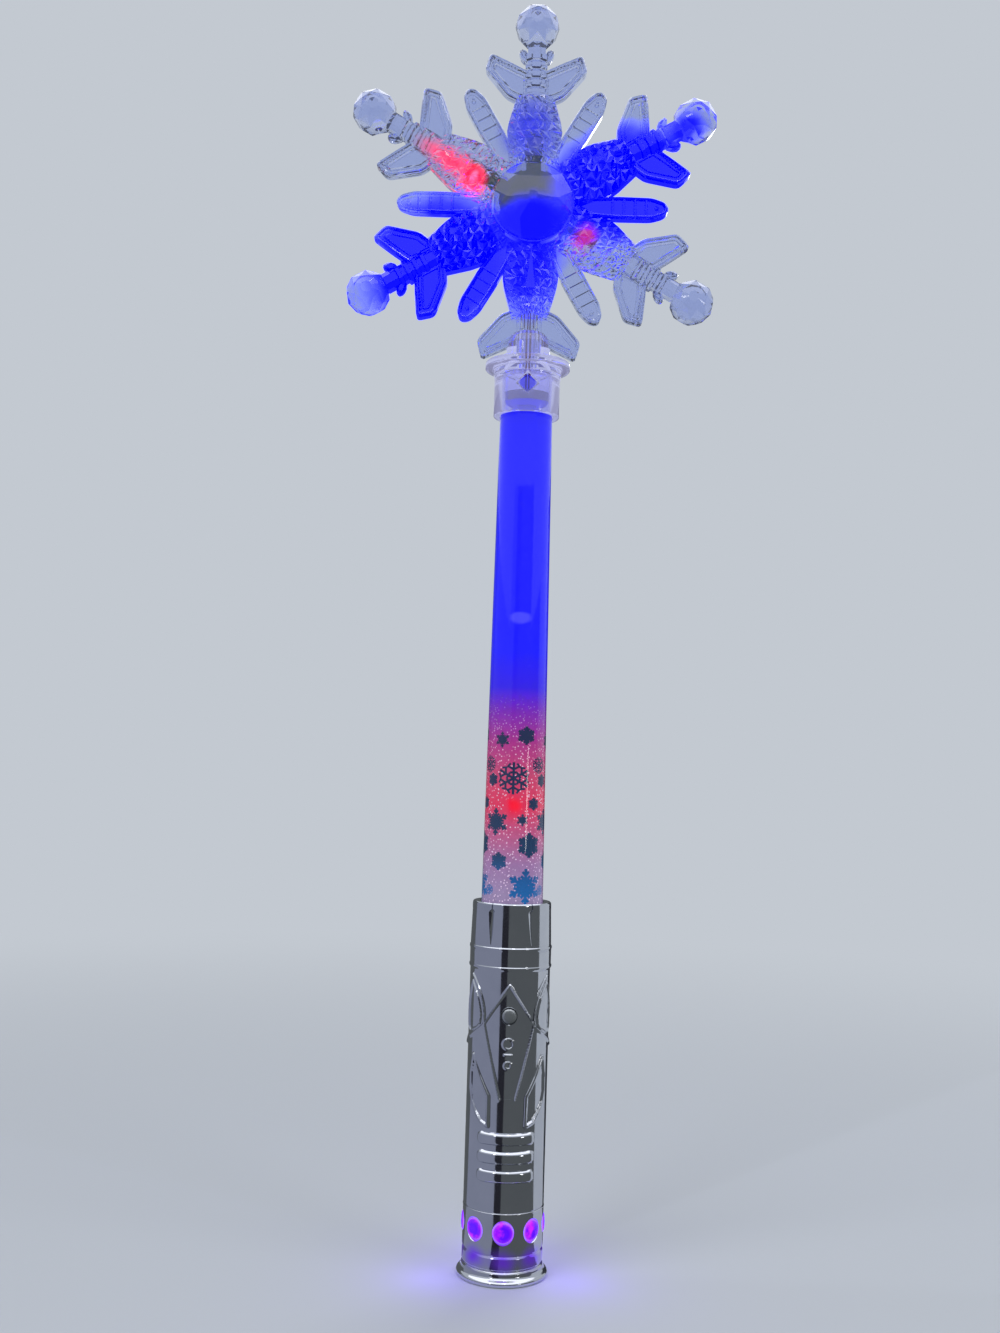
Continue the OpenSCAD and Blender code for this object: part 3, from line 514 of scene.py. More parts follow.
@dataclass(frozen=True)
class Finish:
    """Surface finish on one Principled shader, with an uneven grain in its colour, gloss and height.

    The grain is a noise of the given size in millimetres on Object coordinates. It mixes the two colours,
    sets the roughness between the two values of gloss, and stands up by relief. Glow spots lie over the
    colour, with edges that wander by wobble millimetres. With own_light the whole colour glows by that share
    instead.
    """

    title: str
    colour: str
    drift: str
    grain: float
    gloss: Pair
    relief: float
    metallic: float = 0.0
    ior: float = 1.5
    transmission: float = 0.0
    spots: tuple[GlowSpot, ...] = ()
    wobble: float = 0.0
    wobble_grain: float = 7.0
    own_light: float = 0.0

    def material(self) -> bpy.types.Material:
        """Makes the material the first time, and returns the same one after that.

        Returns:
            The finish as a Blender material.
        """
        found = bpy.data.materials.get(self.title)
        if found:
            return found
        material = bpy.data.materials.new(self.title)
        material.use_nodes = True
        tree = material.node_tree
        place = add_node(tree, "ShaderNodeTexCoord").outputs["Object"]
        noise = {
            "Vector": place,
            "Scale": 1.0 / (self.grain * MM),
            "Detail": GRAIN_DETAIL,
            "Roughness": GRAIN_ROUGHNESS,
        }
        grain = add_node(tree, "ShaderNodeTexNoise", inputs=noise).outputs[0]
        low, high = self.gloss
        gloss = {"Value": grain, "From Min": NOISE_LOW, "From Max": NOISE_HIGH, "To Min": low, "To Max": high}
        bump = {"Height": grain, "Distance": self.relief * MM}
        base, glow = self.lit(tree, place, self.base_colour(tree, place, grain))
        inputs = {
            "Base Color": base,
            "Roughness": add_node(tree, "ShaderNodeMapRange", inputs=gloss).outputs[0],
            "Normal": add_node(tree, "ShaderNodeBump", inputs=bump).outputs[0],
            "Metallic": self.metallic,
            "IOR": self.ior,
            "Transmission Weight": self.transmission,
        }
        if glow is not None:
            inputs |= {"Emission Color": glow, "Emission Strength": 1.0}
        fill(tree, tree.nodes["Principled BSDF"], inputs)
        return material

    def base_colour(self, tree: Tree, place: Socket, grain: Socket) -> Socket:
        """Returns the colour without lamp light: the two colours mixed by the grain."""
        mix = {SHARE: grain, FIRST: to_linear(self.colour), SECOND: to_linear(self.drift)}
        return add_node(tree, "ShaderNodeMix", COLOURS, mix).outputs[MIXED]

    def swayed(self, tree: Tree, place: Socket) -> Socket:
        """Shifts coordinates by a slow noise n of mean one half: they become p + 2 wobble (n - 0.5).

        Args:
            tree: Node tree.
            place: Object coordinates.

        Returns:
            The shifted coordinates.
        """
        noise = {"Vector": place, "Scale": 1.0 / (self.wobble_grain * MM), "Detail": SWAY_DETAIL}
        cloud = add_node(tree, "ShaderNodeTexNoise", inputs=noise).outputs[1]
        middle = {0: cloud, 1: (0.5, 0.5, 0.5)}
        sway = add_node(tree, "ShaderNodeVectorMath", {"operation": "SUBTRACT"}, middle).outputs[0]
        shift = {0: sway, 1: (2 * self.wobble * MM,) * 3, 2: place}
        return add_node(tree, "ShaderNodeVectorMath", {"operation": "MULTIPLY_ADD"}, shift).outputs[0]

    def lit(self, tree: Tree, place: Socket, base: Socket) -> tuple[Socket, Socket | None]:
        """Lays the glow spots over the colour; a spot falls smoothly from 1 at its core to 0 at its edge.

        Args:
            tree: Node tree.
            place: Object coordinates.
            base: Colour without lamp light.

        Returns:
            The colour with the spots in it, and the emission colour, or None without light.
        """
        if self.wobble:
            place = self.swayed(tree, place)
        glow = BLACK if self.spots else None
        for spot in self.spots:
            ellipsoid = {
                "Vector": place,
                "Location": tuple(MM * c for c in spot.centre),
                "Rotation": (0.0, -math.radians(spot.angle), 0.0),
                "Scale": tuple(MM * s for s in spot.size),
            }
            local = add_node(tree, "ShaderNodeMapping", {"vector_type": "TEXTURE"}, ellipsoid).outputs[0]
            far = add_node(tree, "ShaderNodeVectorMath", LENGTH, {0: local}).outputs[1]
            fall = {"Value": far, "From Min": spot.core, "From Max": 1.0, "To Min": 1.0, "To Max": 0.0}
            share = add_node(tree, "ShaderNodeMapRange", SMOOTH, fall).outputs[0]
            colour = to_linear(spot.colour)
            light = (*(spot.strength * c for c in colour[:3]), 1.0)
            mixes = ({SHARE: share, FIRST: base, SECOND: colour}, {SHARE: share, FIRST: glow, SECOND: light})
            base, glow = (add_node(tree, "ShaderNodeMix", COLOURS, mix).outputs[MIXED] for mix in mixes)
        if self.own_light:
            mix = {SHARE: self.own_light, FIRST: BLACK, SECOND: base}
            glow = add_node(tree, "ShaderNodeMix", COLOURS, mix).outputs[MIXED]
        return base, glow


@dataclass(frozen=True)
class BandedFinish(Finish):
    """Finish whose colour runs through stops along the wand's height, with glitter flecks up to a height."""

    bands: Stops = ()
    shade: Pair = (0.82, 1.18)
    glitter: float = 0.0
    glitter_top: float = 0.0
    glitter_fade: float = 25.0
    glitter_colour: str = "#F2DCEB"
    fleck: Pair = (0.12, 0.3)

    def base_colour(self, tree: Tree, place: Socket, grain: Socket) -> Socket:
        """Runs the colour along Z: the share of the way from the first to the last stop is read off a ramp.

        A fleck is a round spot at the middle of an uneven cell. Flecks fade in below the glitter's top.

        Args:
            tree: Node tree.
            place: Object coordinates.
            grain: Noise of the finish, which shades the colour.

        Returns:
            The ramp's colour, with glitter flecks in it.
        """
        low, high = self.bands[0][0], self.bands[-1][0]
        height = add_node(tree, "ShaderNodeSeparateXYZ", inputs={0: place}).outputs[2]
        rise = {"Value": height, "From Min": low * MM, "From Max": high * MM}
        share = add_node(tree, "ShaderNodeMapRange", inputs=rise).outputs[0]
        ramp = add_node(tree, "ShaderNodeValToRGB", inputs={0: share})
        stops = tuple(((level - low) / (high - low), colour) for level, colour in self.bands)
        set_stops(ramp.color_ramp, stops)
        shade = {"Value": grain, "To Min": self.shade[0], "To Max": self.shade[1]}
        value = add_node(tree, "ShaderNodeMapRange", inputs=shade).outputs[0]
        shaded = {"Color": ramp.outputs[0], "Value": value}
        colour = add_node(tree, "ShaderNodeHueSaturation", inputs=shaded).outputs[0]
        if not self.glitter:
            return colour
        cell = {"Vector": place, "Scale": 1.0 / (self.glitter * MM)}
        away = add_node(tree, "ShaderNodeTexVoronoi", inputs=cell).outputs["Distance"]
        core, rim = self.fleck
        spot = {"Value": away, "From Min": core, "From Max": rim, "To Min": 1.0, "To Max": 0.0}
        fleck = add_node(tree, "ShaderNodeMapRange", inputs=spot).outputs[0]
        top = self.glitter_top
        fall = {"Value": height, "From Min": top * MM, "From Max": (top - self.glitter_fade) * MM}
        fade = add_node(tree, "ShaderNodeMapRange", inputs=fall).outputs[0]
        share = add_node(tree, "ShaderNodeMath", {"operation": "MULTIPLY"}, {0: fleck, 1: fade}).outputs[0]
        mix = {SHARE: share, FIRST: colour, SECOND: to_linear(self.glitter_colour)}
        return add_node(tree, "ShaderNodeMix", COLOURS, mix).outputs[MIXED]


@dataclass(frozen=True)
class JewelFinish(Finish):
    """Finish of the window jewels: a painted violet glow, bluer in the middle, with a magenta edge and a pale
    painted highlight at the rim.
    """

    ring: float = GRIP_R
    radius: float = 3.3
    # The last, pale stop is a painted highlight on the jewel's rim.
    stops: Stops = (
        (0.0, "#5208FF"), (0.5, "#4A00EE"), (0.82, "#6A10FF"), (0.92, "#9436FF"), (1.0, "#9C78FF"),
    )
    tint: Pair = (0.48, 0.66)

    def base_colour(self, tree: Tree, place: Socket, grain: Socket) -> Socket:
        """Colours each jewel by the distance from its middle, from the arc round the wand and the height.

        Both are shares of the jewel's radius: the angle, wrapped to half the windows' spacing, times the
        ring's radius over the jewel's, and the height over the windows' middle.

        Args:
            tree: Node tree.
            place: Object coordinates.
            grain: Noise of the finish, which tints the colour.

        Returns:
            The jewel's colour.
        """
        part = add_node(tree, "ShaderNodeSeparateXYZ", inputs={0: place}).outputs
        turn = add_node(tree, "ShaderNodeMath", {"operation": "ARCTAN2"}, {0: part[0], 1: part[1]}).outputs[0]
        half = math.pi / WINDOWS
        span = {0: turn, 1: half, 2: -half}
        near = add_node(tree, "ShaderNodeMath", {"operation": "WRAP"}, span).outputs[0]
        scale = {0: near, 1: self.ring / self.radius}
        arc = add_node(tree, "ShaderNodeMath", {"operation": "MULTIPLY"}, scale).outputs[0]
        level = {
            "Value": part[2],
            "From Min": (WINDOW_Z - self.radius) * MM,
            "From Max": (WINDOW_Z + self.radius) * MM,
            "To Min": -1.0,
            "To Max": 1.0,
        }
        rise = add_node(tree, "ShaderNodeMapRange", {"clamp": False}, level).outputs[0]
        spot = add_node(tree, "ShaderNodeCombineXYZ", inputs={0: arc, 1: rise}).outputs[0]
        far = add_node(tree, "ShaderNodeVectorMath", LENGTH, {0: spot}).outputs[1]
        ramp = add_node(tree, "ShaderNodeValToRGB", inputs={0: far})
        set_stops(ramp.color_ramp, self.stops)
        tint = {"Value": grain, "From Min": self.tint[0], "From Max": self.tint[1]}
        share = add_node(tree, "ShaderNodeMapRange", inputs=tint).outputs[0]
        mix = {SHARE: share, FIRST: ramp.outputs[0], SECOND: to_linear(self.drift)}
        return add_node(tree, "ShaderNodeMix", COLOURS, mix).outputs[MIXED]


def on_arm(along: float, angle: float) -> Place:
    """Returns the place in the head at a share of the reach along the arm that stands at angle degrees."""
    far, turn = along * REACH, math.radians(angle)
    return (far * math.cos(turn), 0.0, HUB_Z + far * math.sin(turn))


def lamp_package(title: str, *spots: GlowSpot) -> Finish:
    """Returns the finish of a white moulded lamp cup, lit by its own chips."""
    return Finish(title, "#EFEDE6", "#DAD7CE", 0.8, (0.3, 0.45), 0.01, spots=spots)


BLUE, RED, PINK, VIOLET = "#0000FF", "#FF0A3C", "#FF9AC0", "#5A00FF"
TUBE_BLUE = "#4040FF"
# Heights of the three lamps in the tube.
RED_LAMP_Z, LOW_LAMP_Z, HIGH_LAMP_Z = 149.6, 210.9, 272.1

# Lamp light in the head: blue floods three arms and the hub's lower half. A red and a magenta lamp shine in
# small spots.
HEAD_SPOTS = (
    GlowSpot((0.0, 0.0, HUB_Z), (140.0, 140.0, 140.0), 0.0, "#D4DCF8", 0.9, 0.014),
    GlowSpot((31.0, 0.0, HUB_Z + 9.0), (31.0, 60.0, 23.0), 20.0, BLUE, 0.62, 0.85),
    GlowSpot((-31.0, 0.0, HUB_Z - 21.0), (30.0, 60.0, 27.0), 34.0, BLUE, 0.62, 0.85),
    GlowSpot(on_arm(0.3, 268.0), (14.0, 60.0, 24.0), 0.0, "#1010D8", 0.3, 0.7),
    GlowSpot((0.0, 0.0, HUB_Z - 7.0), (15.0, 60.0, 9.0), 0.0, "#0505E6", 0.4, 0.75),
    GlowSpot(on_arm(0.42, 93.0), (13.0, 60.0, 15.0), 0.0, "#5A62D6", 0.1, 0.22),
    GlowSpot(on_arm(0.5, 152.0), (17.0, 60.0, 4.6), 150.0, "#F04A78", 0.0, 0.4),
    GlowSpot(on_arm(0.345, 157.0), (6.4, 30.0, 5.6), 0.0, RED, 0.2, 1.0),
    GlowSpot(on_arm(0.345, 157.0), (2.6, 30.0, 2.4), 0.0, "#FF6C9C", 0.1, 1.0),
    GlowSpot((51.5, 0.0, HUB_Z + 27.5), (8.5, 60.0, 7.0), 20.0, "#1212E0", 0.35, 0.55),
    GlowSpot(on_arm(0.33, -31.0), (5.4, 30.0, 4.6), 0.0, "#B02C90", 0.1, 0.5),
)
# Painted violet light on the base, in a patch under each window.
CAP_R, CAP_GLOW_Z = 13.2, 7.6
BASE_SPOTS = tuple(
    GlowSpot(
        (CAP_R * math.sin(turn), -CAP_R * math.cos(turn), CAP_GLOW_Z),
        (6.6, 6.6, 5.4), 0.0, "#7A44F2", 0.0, 0.34,
    )
    for turn in np.arange(WINDOWS) * TURN / WINDOWS
)
# Chips of the head's lamps, by the angle of their arm.
HEAD_CHIPS = ((30.0, BLUE), (-30.0, "#A82472"), (150.0, PINK), (210.0, BLUE), (270.0, BLUE))

# ABS under bright electroplate: a mirror with the faint waviness of the moulding and a little handling haze.
CHROME = Finish("chromed_abs", "#D6D8DE", "#C4C7CF", 9.0, (0.045, 0.13), 0.012, metallic=1.0)
# The same plate round the lit base, with a painted violet glow under each window in place of the jewels'
# light spilling on the chrome.
LIT_CHROME = Finish(
    "chromed_abs_lit", "#D6D8DE", "#C4C7CF", 9.0, (0.05, 0.14), 0.012, metallic=1.0, spots=BASE_SPOTS,
    wobble=1.5,
)
# The button's plate is satin, as a moulded key that fingers rub, so it stays grey where the shell goes dark.
SATIN_CHROME = Finish("satin_chromed_abs", "#C2C6C6", "#B2B6B8", 2.0, (0.36, 0.48), 0.01, metallic=1.0)
# Zinc on steel: a grey metal with a patchy bloom.
ZINC = Finish("zinc_plated_steel", "#B9BCC0", "#8E9298", 0.8, (0.25, 0.5), 0.01, metallic=1.0)
# Nickel on spring wire: brighter and smoother than zinc.
NICKEL = Finish("nickel_plated_wire", "#D2CCBE", "#B0A998", 0.6, (0.15, 0.35), 0.008, metallic=1.0)
# Clear acrylic studs lit from below: their violet with a magenta edge is a painted glow, and their pale rim a
# painted highlight.
JEWEL = JewelFinish(
    "lit_violet_acrylic", "#5A00FF", "#B018F0", 4.0, (0.05, 0.15), 0.01, ior=1.49, own_light=0.8,
)
# Glass-epoxy laminate under green lacquer: the weave shows as fine mottling.
LAMINATE = Finish("green_lacquered_laminate", "#1F6B3C", "#16552F", 0.5, (0.3, 0.5), 0.02)
WHITE_LAMINATE = Finish("white_lacquered_laminate", "#E8EAEE", "#D4D8E2", 0.5, (0.35, 0.55), 0.02)
# Lamp packages: white moulded cups, lit by their own chips.
BASE_LAMP = lamp_package(
    "violet_lamp_package", GlowSpot((0.0, 0.0, 13.2), (14.0, 14.0, 6.0), 0.0, VIOLET, 0.6, 0.9),
)
TUBE_LAMP = lamp_package("tube_lamp_package", *(
    GlowSpot((0.0, -1.4, z), (6.0, 6.0, 6.0), 0.0, colour, 0.5, 1.0)
    for z, colour in ((RED_LAMP_Z, RED), (LOW_LAMP_Z, TUBE_BLUE), (HIGH_LAMP_Z, TUBE_BLUE))
))
HEAD_LAMP = lamp_package("head_lamp_package", *(
    GlowSpot(on_arm(0.34, angle), (5.0, 9.0, 5.0), 0.0, colour, 0.5, 1.0) for angle, colour in HEAD_CHIPS
))
# Enamelled and sleeved wires: glossy varnish over copper, and soft red vinyl.
ENAMEL = Finish("enamelled_copper", "#B4562E", "#8F3D1E", 0.7, (0.2, 0.35), 0.005)
RED_VINYL = Finish("red_vinyl_sleeve", "#B3261E", "#8E1A16", 0.6, (0.35, 0.55), 0.01)
# Moulded ABS inside the handle: matt, with fine spark texture.
GREY_ABS = Finish("grey_spark_textured_abs", "#5C6066", "#4B4F55", 0.4, (0.45, 0.65), 0.03)
WHITE_ABS = Finish("white_spark_textured_abs", "#E9E9EC", "#D7D8DE", 0.4, (0.4, 0.6), 0.02)
# Moulded epoxy of the chip and the key: black and dull. Acetal of the plunger: amber with a soft shine.
BLACK_EPOXY = Finish("black_moulded_epoxy", "#1C1D1F", "#2A2B2E", 0.3, (0.45, 0.65), 0.015)
PLUNGER = Finish("amber_acetal", "#C99A3A", "#B0822C", 0.5, (0.3, 0.45), 0.01)
# Printed shrink sleeve on the cells: dark body and a copper-gold end.
CELL_SLEEVE = BandedFinish(
    "printed_cell_sleeve", "#26282B", "#3A3C40", 0.5, (0.25, 0.4), 0.008,
    bands=(
        (27.0, "#1E2023"), (57.5, "#1E2023"), (57.8, "#C08A2C"), (71.3, "#C08A2C"), (71.6, "#C9CACC"),
        (73.0, "#C9CACC"),
    ),
)
# Frosted film with glitter behind the tube's wall, lit red near its foot and blue above.
FILM = BandedFinish(
    "frosted_glitter_film", "#9682A5", "#8C86B4", 1.2, (0.3, 0.5), 0.01, own_light=0.62, glitter=0.95,
    glitter_top=186.0, wobble=1.2,
    bands=(
        (106.0, "#8C7CA0"), (121.0, "#9A86A8"), (131.0, "#9C74A0"), (141.0, "#BC5480"), (150.0, "#D83058"),
        (160.0, "#C4446E"), (170.0, "#AA2E84"), (180.0, "#7A1AAE"), (188.0, "#2C06DC"), (200.0, "#0000F0"),
        (280.0, "#0000F0"),
    ),
    spots=(
        GlowSpot((-0.4, -8.6, RED_LAMP_Z), (5.6, 5.0, 6.4), 0.0, "#E0204C", 0.1, 1.0),
        GlowSpot((-0.4, -8.6, RED_LAMP_Z), (3.2, 4.0, 3.4), 0.0, "#FF0030", 0.2, 1.0),
        GlowSpot((0.0, -8.2, LOW_LAMP_Z), (4.2, 5.0, 2.4), 0.0, "#4848FF", 0.55, 1.0),
    ),
)
# Screen-printed ink on the film: dark teal blue, brighter near the collar, with a painted glow of a quarter
# of its colour for the lit film behind it.
INK = BandedFinish(
    "screen_printed_ink", "#14406C", "#0E3C6E", 0.6, (0.35, 0.5), 0.004, own_light=0.25,
    bands=((118.0, "#1482CC"), (126.0, "#1470B4"), (134.0, "#16466E"), (165.0, "#182E5A")),
)
# Cast acrylic tube: clear, glossy, with faint rubbing along it, and a lit snap lug.
ACRYLIC = Finish(
    "clear_acrylic", "#FBFBFF", "#F1F2FF", 14.0, (0.01, 0.05), 0.006, ior=1.49, transmission=1.0,
    spots=(GlowSpot((0.0, -10.2, 289.4), (4.4, 1.9, 4.6), 0.0, "#2020C8", 0.6, 0.35),),
)
# Moulded styrene of the neck: clear with a lavender cast from the lamps below.
NECK_STYRENE = Finish(
    "clear_lavender_styrene", "#DAD8F8", "#CBCBF2", 8.0, (0.03, 0.09), 0.02, ior=1.59, transmission=1.0,
    spots=(GlowSpot((0.0, 0.0, 292.0), (60.0, 60.0, 60.0), 0.0, "#CFCFF6", 0.9, 0.08),),
)
# Moulded styrene of the snowflake and its gems: clear and hard-edged, and flooded by the lamps behind it.
SNOW_STYRENE = Finish(
    "clear_snow_styrene", "#E4E8FA", "#D4DAF4", 6.0, (0.02, 0.07), 0.015, ior=1.59, transmission=1.0,
    spots=HEAD_SPOTS, wobble=3.0,
)
GEM_STYRENE = Finish(
    "clear_gem_styrene", "#E8EAF6", "#D8DCF0", 6.0, (0.02, 0.06), 0.01, ior=1.59, transmission=1.0,
    spots=(GlowSpot((0.0, 0.0, HUB_Z - 7.5), (15.0, 60.0, 10.5), 8.0, "#0404E8", 0.45, 0.7),), wobble=2.0,
)


# Sub-assemblies, from the foot up


@dataclass
class Base:
    """Foot of the handle: stepped cap, window band and the ring of lit jewels.

    Profiles and sections are radius and height. Those of a window and a stud are radius and place along Y.
    """

    cap: Pairs = (
        (0.5, 0.0), (14.3, 0.0), (14.75, 0.35), (14.75, 1.25), (14.35, 1.75), (13.75, 2.1), (13.35, 2.7),
        (13.2, 3.2), (13.2, 3.6), (12.8, 4.2), (12.55, 4.25), (12.55, 4.8), (GRIP_R, 4.85), (GRIP_R, 8.1),
        (12.62, 8.75), (12.55, 8.85), (12.55, 9.4), (11.45, 9.4), (11.45, 11.9), (10.25, 11.9), (10.25, 2.0),
        (0.5, 2.0),
    )
    band: Pairs = (
        (BORE_R, 9.4), (GRIP_R, 9.4), (GRIP_R, 21.5), (13.12, 21.8), (GRIP_R, 22.2), (11.45, 22.2),
        (11.45, 25.7), (10.25, 25.7), (10.25, 22.2), (8.85, 22.2), (8.85, 21.2), (BORE_R, 21.2),
    )
    window: Pairs = ((3.95, -14.0), (3.9, -13.1), (3.45, -12.5), (3.45, -10.2))
    jewels: Pairs = ((10.05, 11.95), (11.45, 11.95), (11.45, 21.15), (10.05, 21.15))
    stud_side: Pairs = ((3.0, -12.95), (3.3, -12.55), (3.3, -10.8))
    dome_r: float = 2.7
    dome_y: float = -13.1
    dome_high: float = 0.34
    dome_points: int = 7
    cap_round: float = 0.22
    band_round: float = 0.2
    jewel_round: float = 0.15
    segments: int = 128
    band_segments: int = 192
    stud_segments: int = 40
    crease: float = 30.0

    def stud(self) -> Solid:
        """Jewel in the first window: straight side, bevel, and a dome (its radius a cosine, its rise a sine).

        Returns:
            The stud, facing -Y.
        """
        turn = np.linspace(0.0, math.pi / 2, self.dome_points)[-2::-1]
        dome = np.stack([self.dome_r * np.cos(turn), self.dome_y - self.dome_high * np.sin(turn)], -1)
        return along_y(np.concatenate([dome, self.stud_side]), 0.0, WINDOW_Z, self.stud_segments)

    def ring(self, name: str, section: np.ndarray, segments: int, part: Solid, way: Cut) -> bpy.types.Object:
        """Turned ring with a part added or cut out at every window, the first of which faces -Y.

        Args:
            name: Name of the piece.
            section: Rounded section of the ring.
            segments: Points round the ring.
            part: What stands at the first window.
            way: Whether the parts are added or cut out.

        Returns:
            The ring's object.
        """
        piece = hoop(spun(section, segments)).to_object(name)
        parts = [part.placed(about_z(turn)) for turn in np.arange(WINDOWS) * TURN / WINDOWS]
        combine(piece, Solid.joined(parts), way)
        return piece

    def build(self) -> None:
        """Builds and dresses the cap, the band and the jewels."""
        profile = eased(self.cap, self.cap_round, closed=False)
        cap = loft(spun(profile, self.segments)).to_object("base_cap_chrome")
        show(cap, Body.WAND, LIT_CHROME, Slot.CHROME, self.crease, "base_cap")
        section, hole = eased(self.band, self.band_round), along_y(self.window, 0.0, WINDOW_Z)
        band = self.ring("window_band_chrome", section, self.band_segments, hole, Cut.REMOVE)
        show(band, Body.WAND, LIT_CHROME, Slot.CHROME, self.crease, "window_band")
        section = eased(self.jewels, self.jewel_round)
        jewels = self.ring("jewel_ring_violet", section, self.segments, self.stud(), Cut.ADD)
        show(jewels, Body.WAND, JEWEL, Slot.JEWEL, self.crease, "jewel_ring")


@dataclass
class Door:
    """Battery door: a curved cover with finger ribs, two tongues at its foot and a pad for its screw.

    End rows of the cover's grid are distances from each end. Middle rows are the first one's distance from
    the foot, the limit for the last one's distance from the top, and their step.
    """

    foot: float = 27.5
    top: float = 79.0
    half: float = 9.5
    columns: int = 72
    end_rows: Place = (0.0, 0.12, 0.3)
    middle_rows: Place = (0.6, 0.5, 0.3)
    edge: float = 0.3
    edge_drop: float = 0.25
    ribs: Pair = (34.0, 47.0)
    rib_pitch: float = 2.6
    rib_half: float = 0.9
    rib_high: float = 0.35
    rib_reach: float = 6.2
    rib_end: float = 0.8
    tongue_x: float = 6.5
    tongue_half: float = 1.2
    tongue_columns: int = 9
    tongue_z: Pair = (26.2, 29.5)
    tongue_r: Pair = (11.3, 10.4)
    root_z: Pair = (27.7, 29.4)
    root_r: Pair = (10.5, 12.2)
    screw_z: float = 75.0
    pad: Pairs = ((3.2, 9.6), (3.2, 12.2))
    hole: Pairs = ((1.3, 8.0), (1.3, 10.95), (2.5, 10.95), (2.5, 12.7), (2.85, 14.0))
    crease: float = 40.0

    def arched(self, x: np.ndarray, z: np.ndarray, outer: np.ndarray | float, inner: float) -> Solid:
        """Curved plate: at each height out along y = root(outer^2 - x^2) and back along root(inner^2 - x^2).

        Args:
            x: Places across, falling along each row.
            z: Heights, rising from row to row.
            outer: Outer radius, for all points or each.
            inner: Inner radius.

        Returns:
            The closed plate.
        """
        out, back = (np.stack([x, np.sqrt(radius**2 - x**2), z], -1) for radius in (outer, inner))
        return loft(np.concatenate([out, back[:, ::-1]], 1))

    def cover(self) -> Solid:
        """Cover with eased edges: its radius falls by a square near them, and rises by beads over the ribs.

        Rows stand close together at both ends and at an even step between them.

        Returns:
            The cover without its tongues and pad.
        """
        ends = np.array(self.end_rows)
        first, last, step = self.middle_rows
        middle = np.arange(self.foot + first, self.top - last, step)
        rows = np.concatenate([self.foot + ends, middle, self.top - ends[::-1]])
        x, z = np.meshgrid(np.linspace(self.half, -self.half, self.columns), rows)
        ease = np.clip(np.minimum(z - self.foot, self.top - z) / self.edge, 0.0, 1.0)
        side = np.clip((self.half - np.abs(x)) / self.edge, 0.0, 1.0)
        first, last = self.ribs
        ribs = bead(np.abs((z - first) % self.rib_pitch - self.rib_pitch / 2), self.rib_half)
        fade = np.clip((self.rib_reach - np.abs(x)) / self.rib_end, 0.0, 1.0)
        ribs = ribs * (z > first) * (z < last) * fade
        drop = self.edge_drop * ((1 - ease) ** 2 + (1 - side) ** 2)
        return self.arched(x, z, GRIP_R - drop + self.rib_high * ribs, BORE_R)

    def build(self) -> None:
        """Adds the tongues, their roots and the pad to the cover, cuts the screw hole and dresses it all."""
        piece = self.cover().to_object("battery_door_chrome")
        tongues, roots = [], []
        far = self.tongue_x + self.tongue_half
        low, high = (float(np.sqrt(radius**2 - far**2)) for radius in self.root_r)
        for middle in (-self.tongue_x, self.tongue_x):
            left, right = middle - self.tongue_half, middle + self.tongue_half
            x, z = np.meshgrid(np.linspace(right, left, self.tongue_columns), self.tongue_z)
            tongues.append(self.arched(x, z, *self.tongue_r))
            roots.append(brick((left, low, self.root_z[0]), (right, high, self.root_z[1])))
        combine(piece, Solid.joined(tongues), Cut.ADD)
        combine(piece, Solid.joined(roots), Cut.ADD)
        combine(piece, along_y(self.pad, 0.0, self.screw_z), Cut.ADD)
        combine(piece, along_y(self.hole, 0.0, self.screw_z), Cut.REMOVE)
        show(piece, Body.DOOR, CHROME, Slot.CHROME, self.crease, "battery_door")


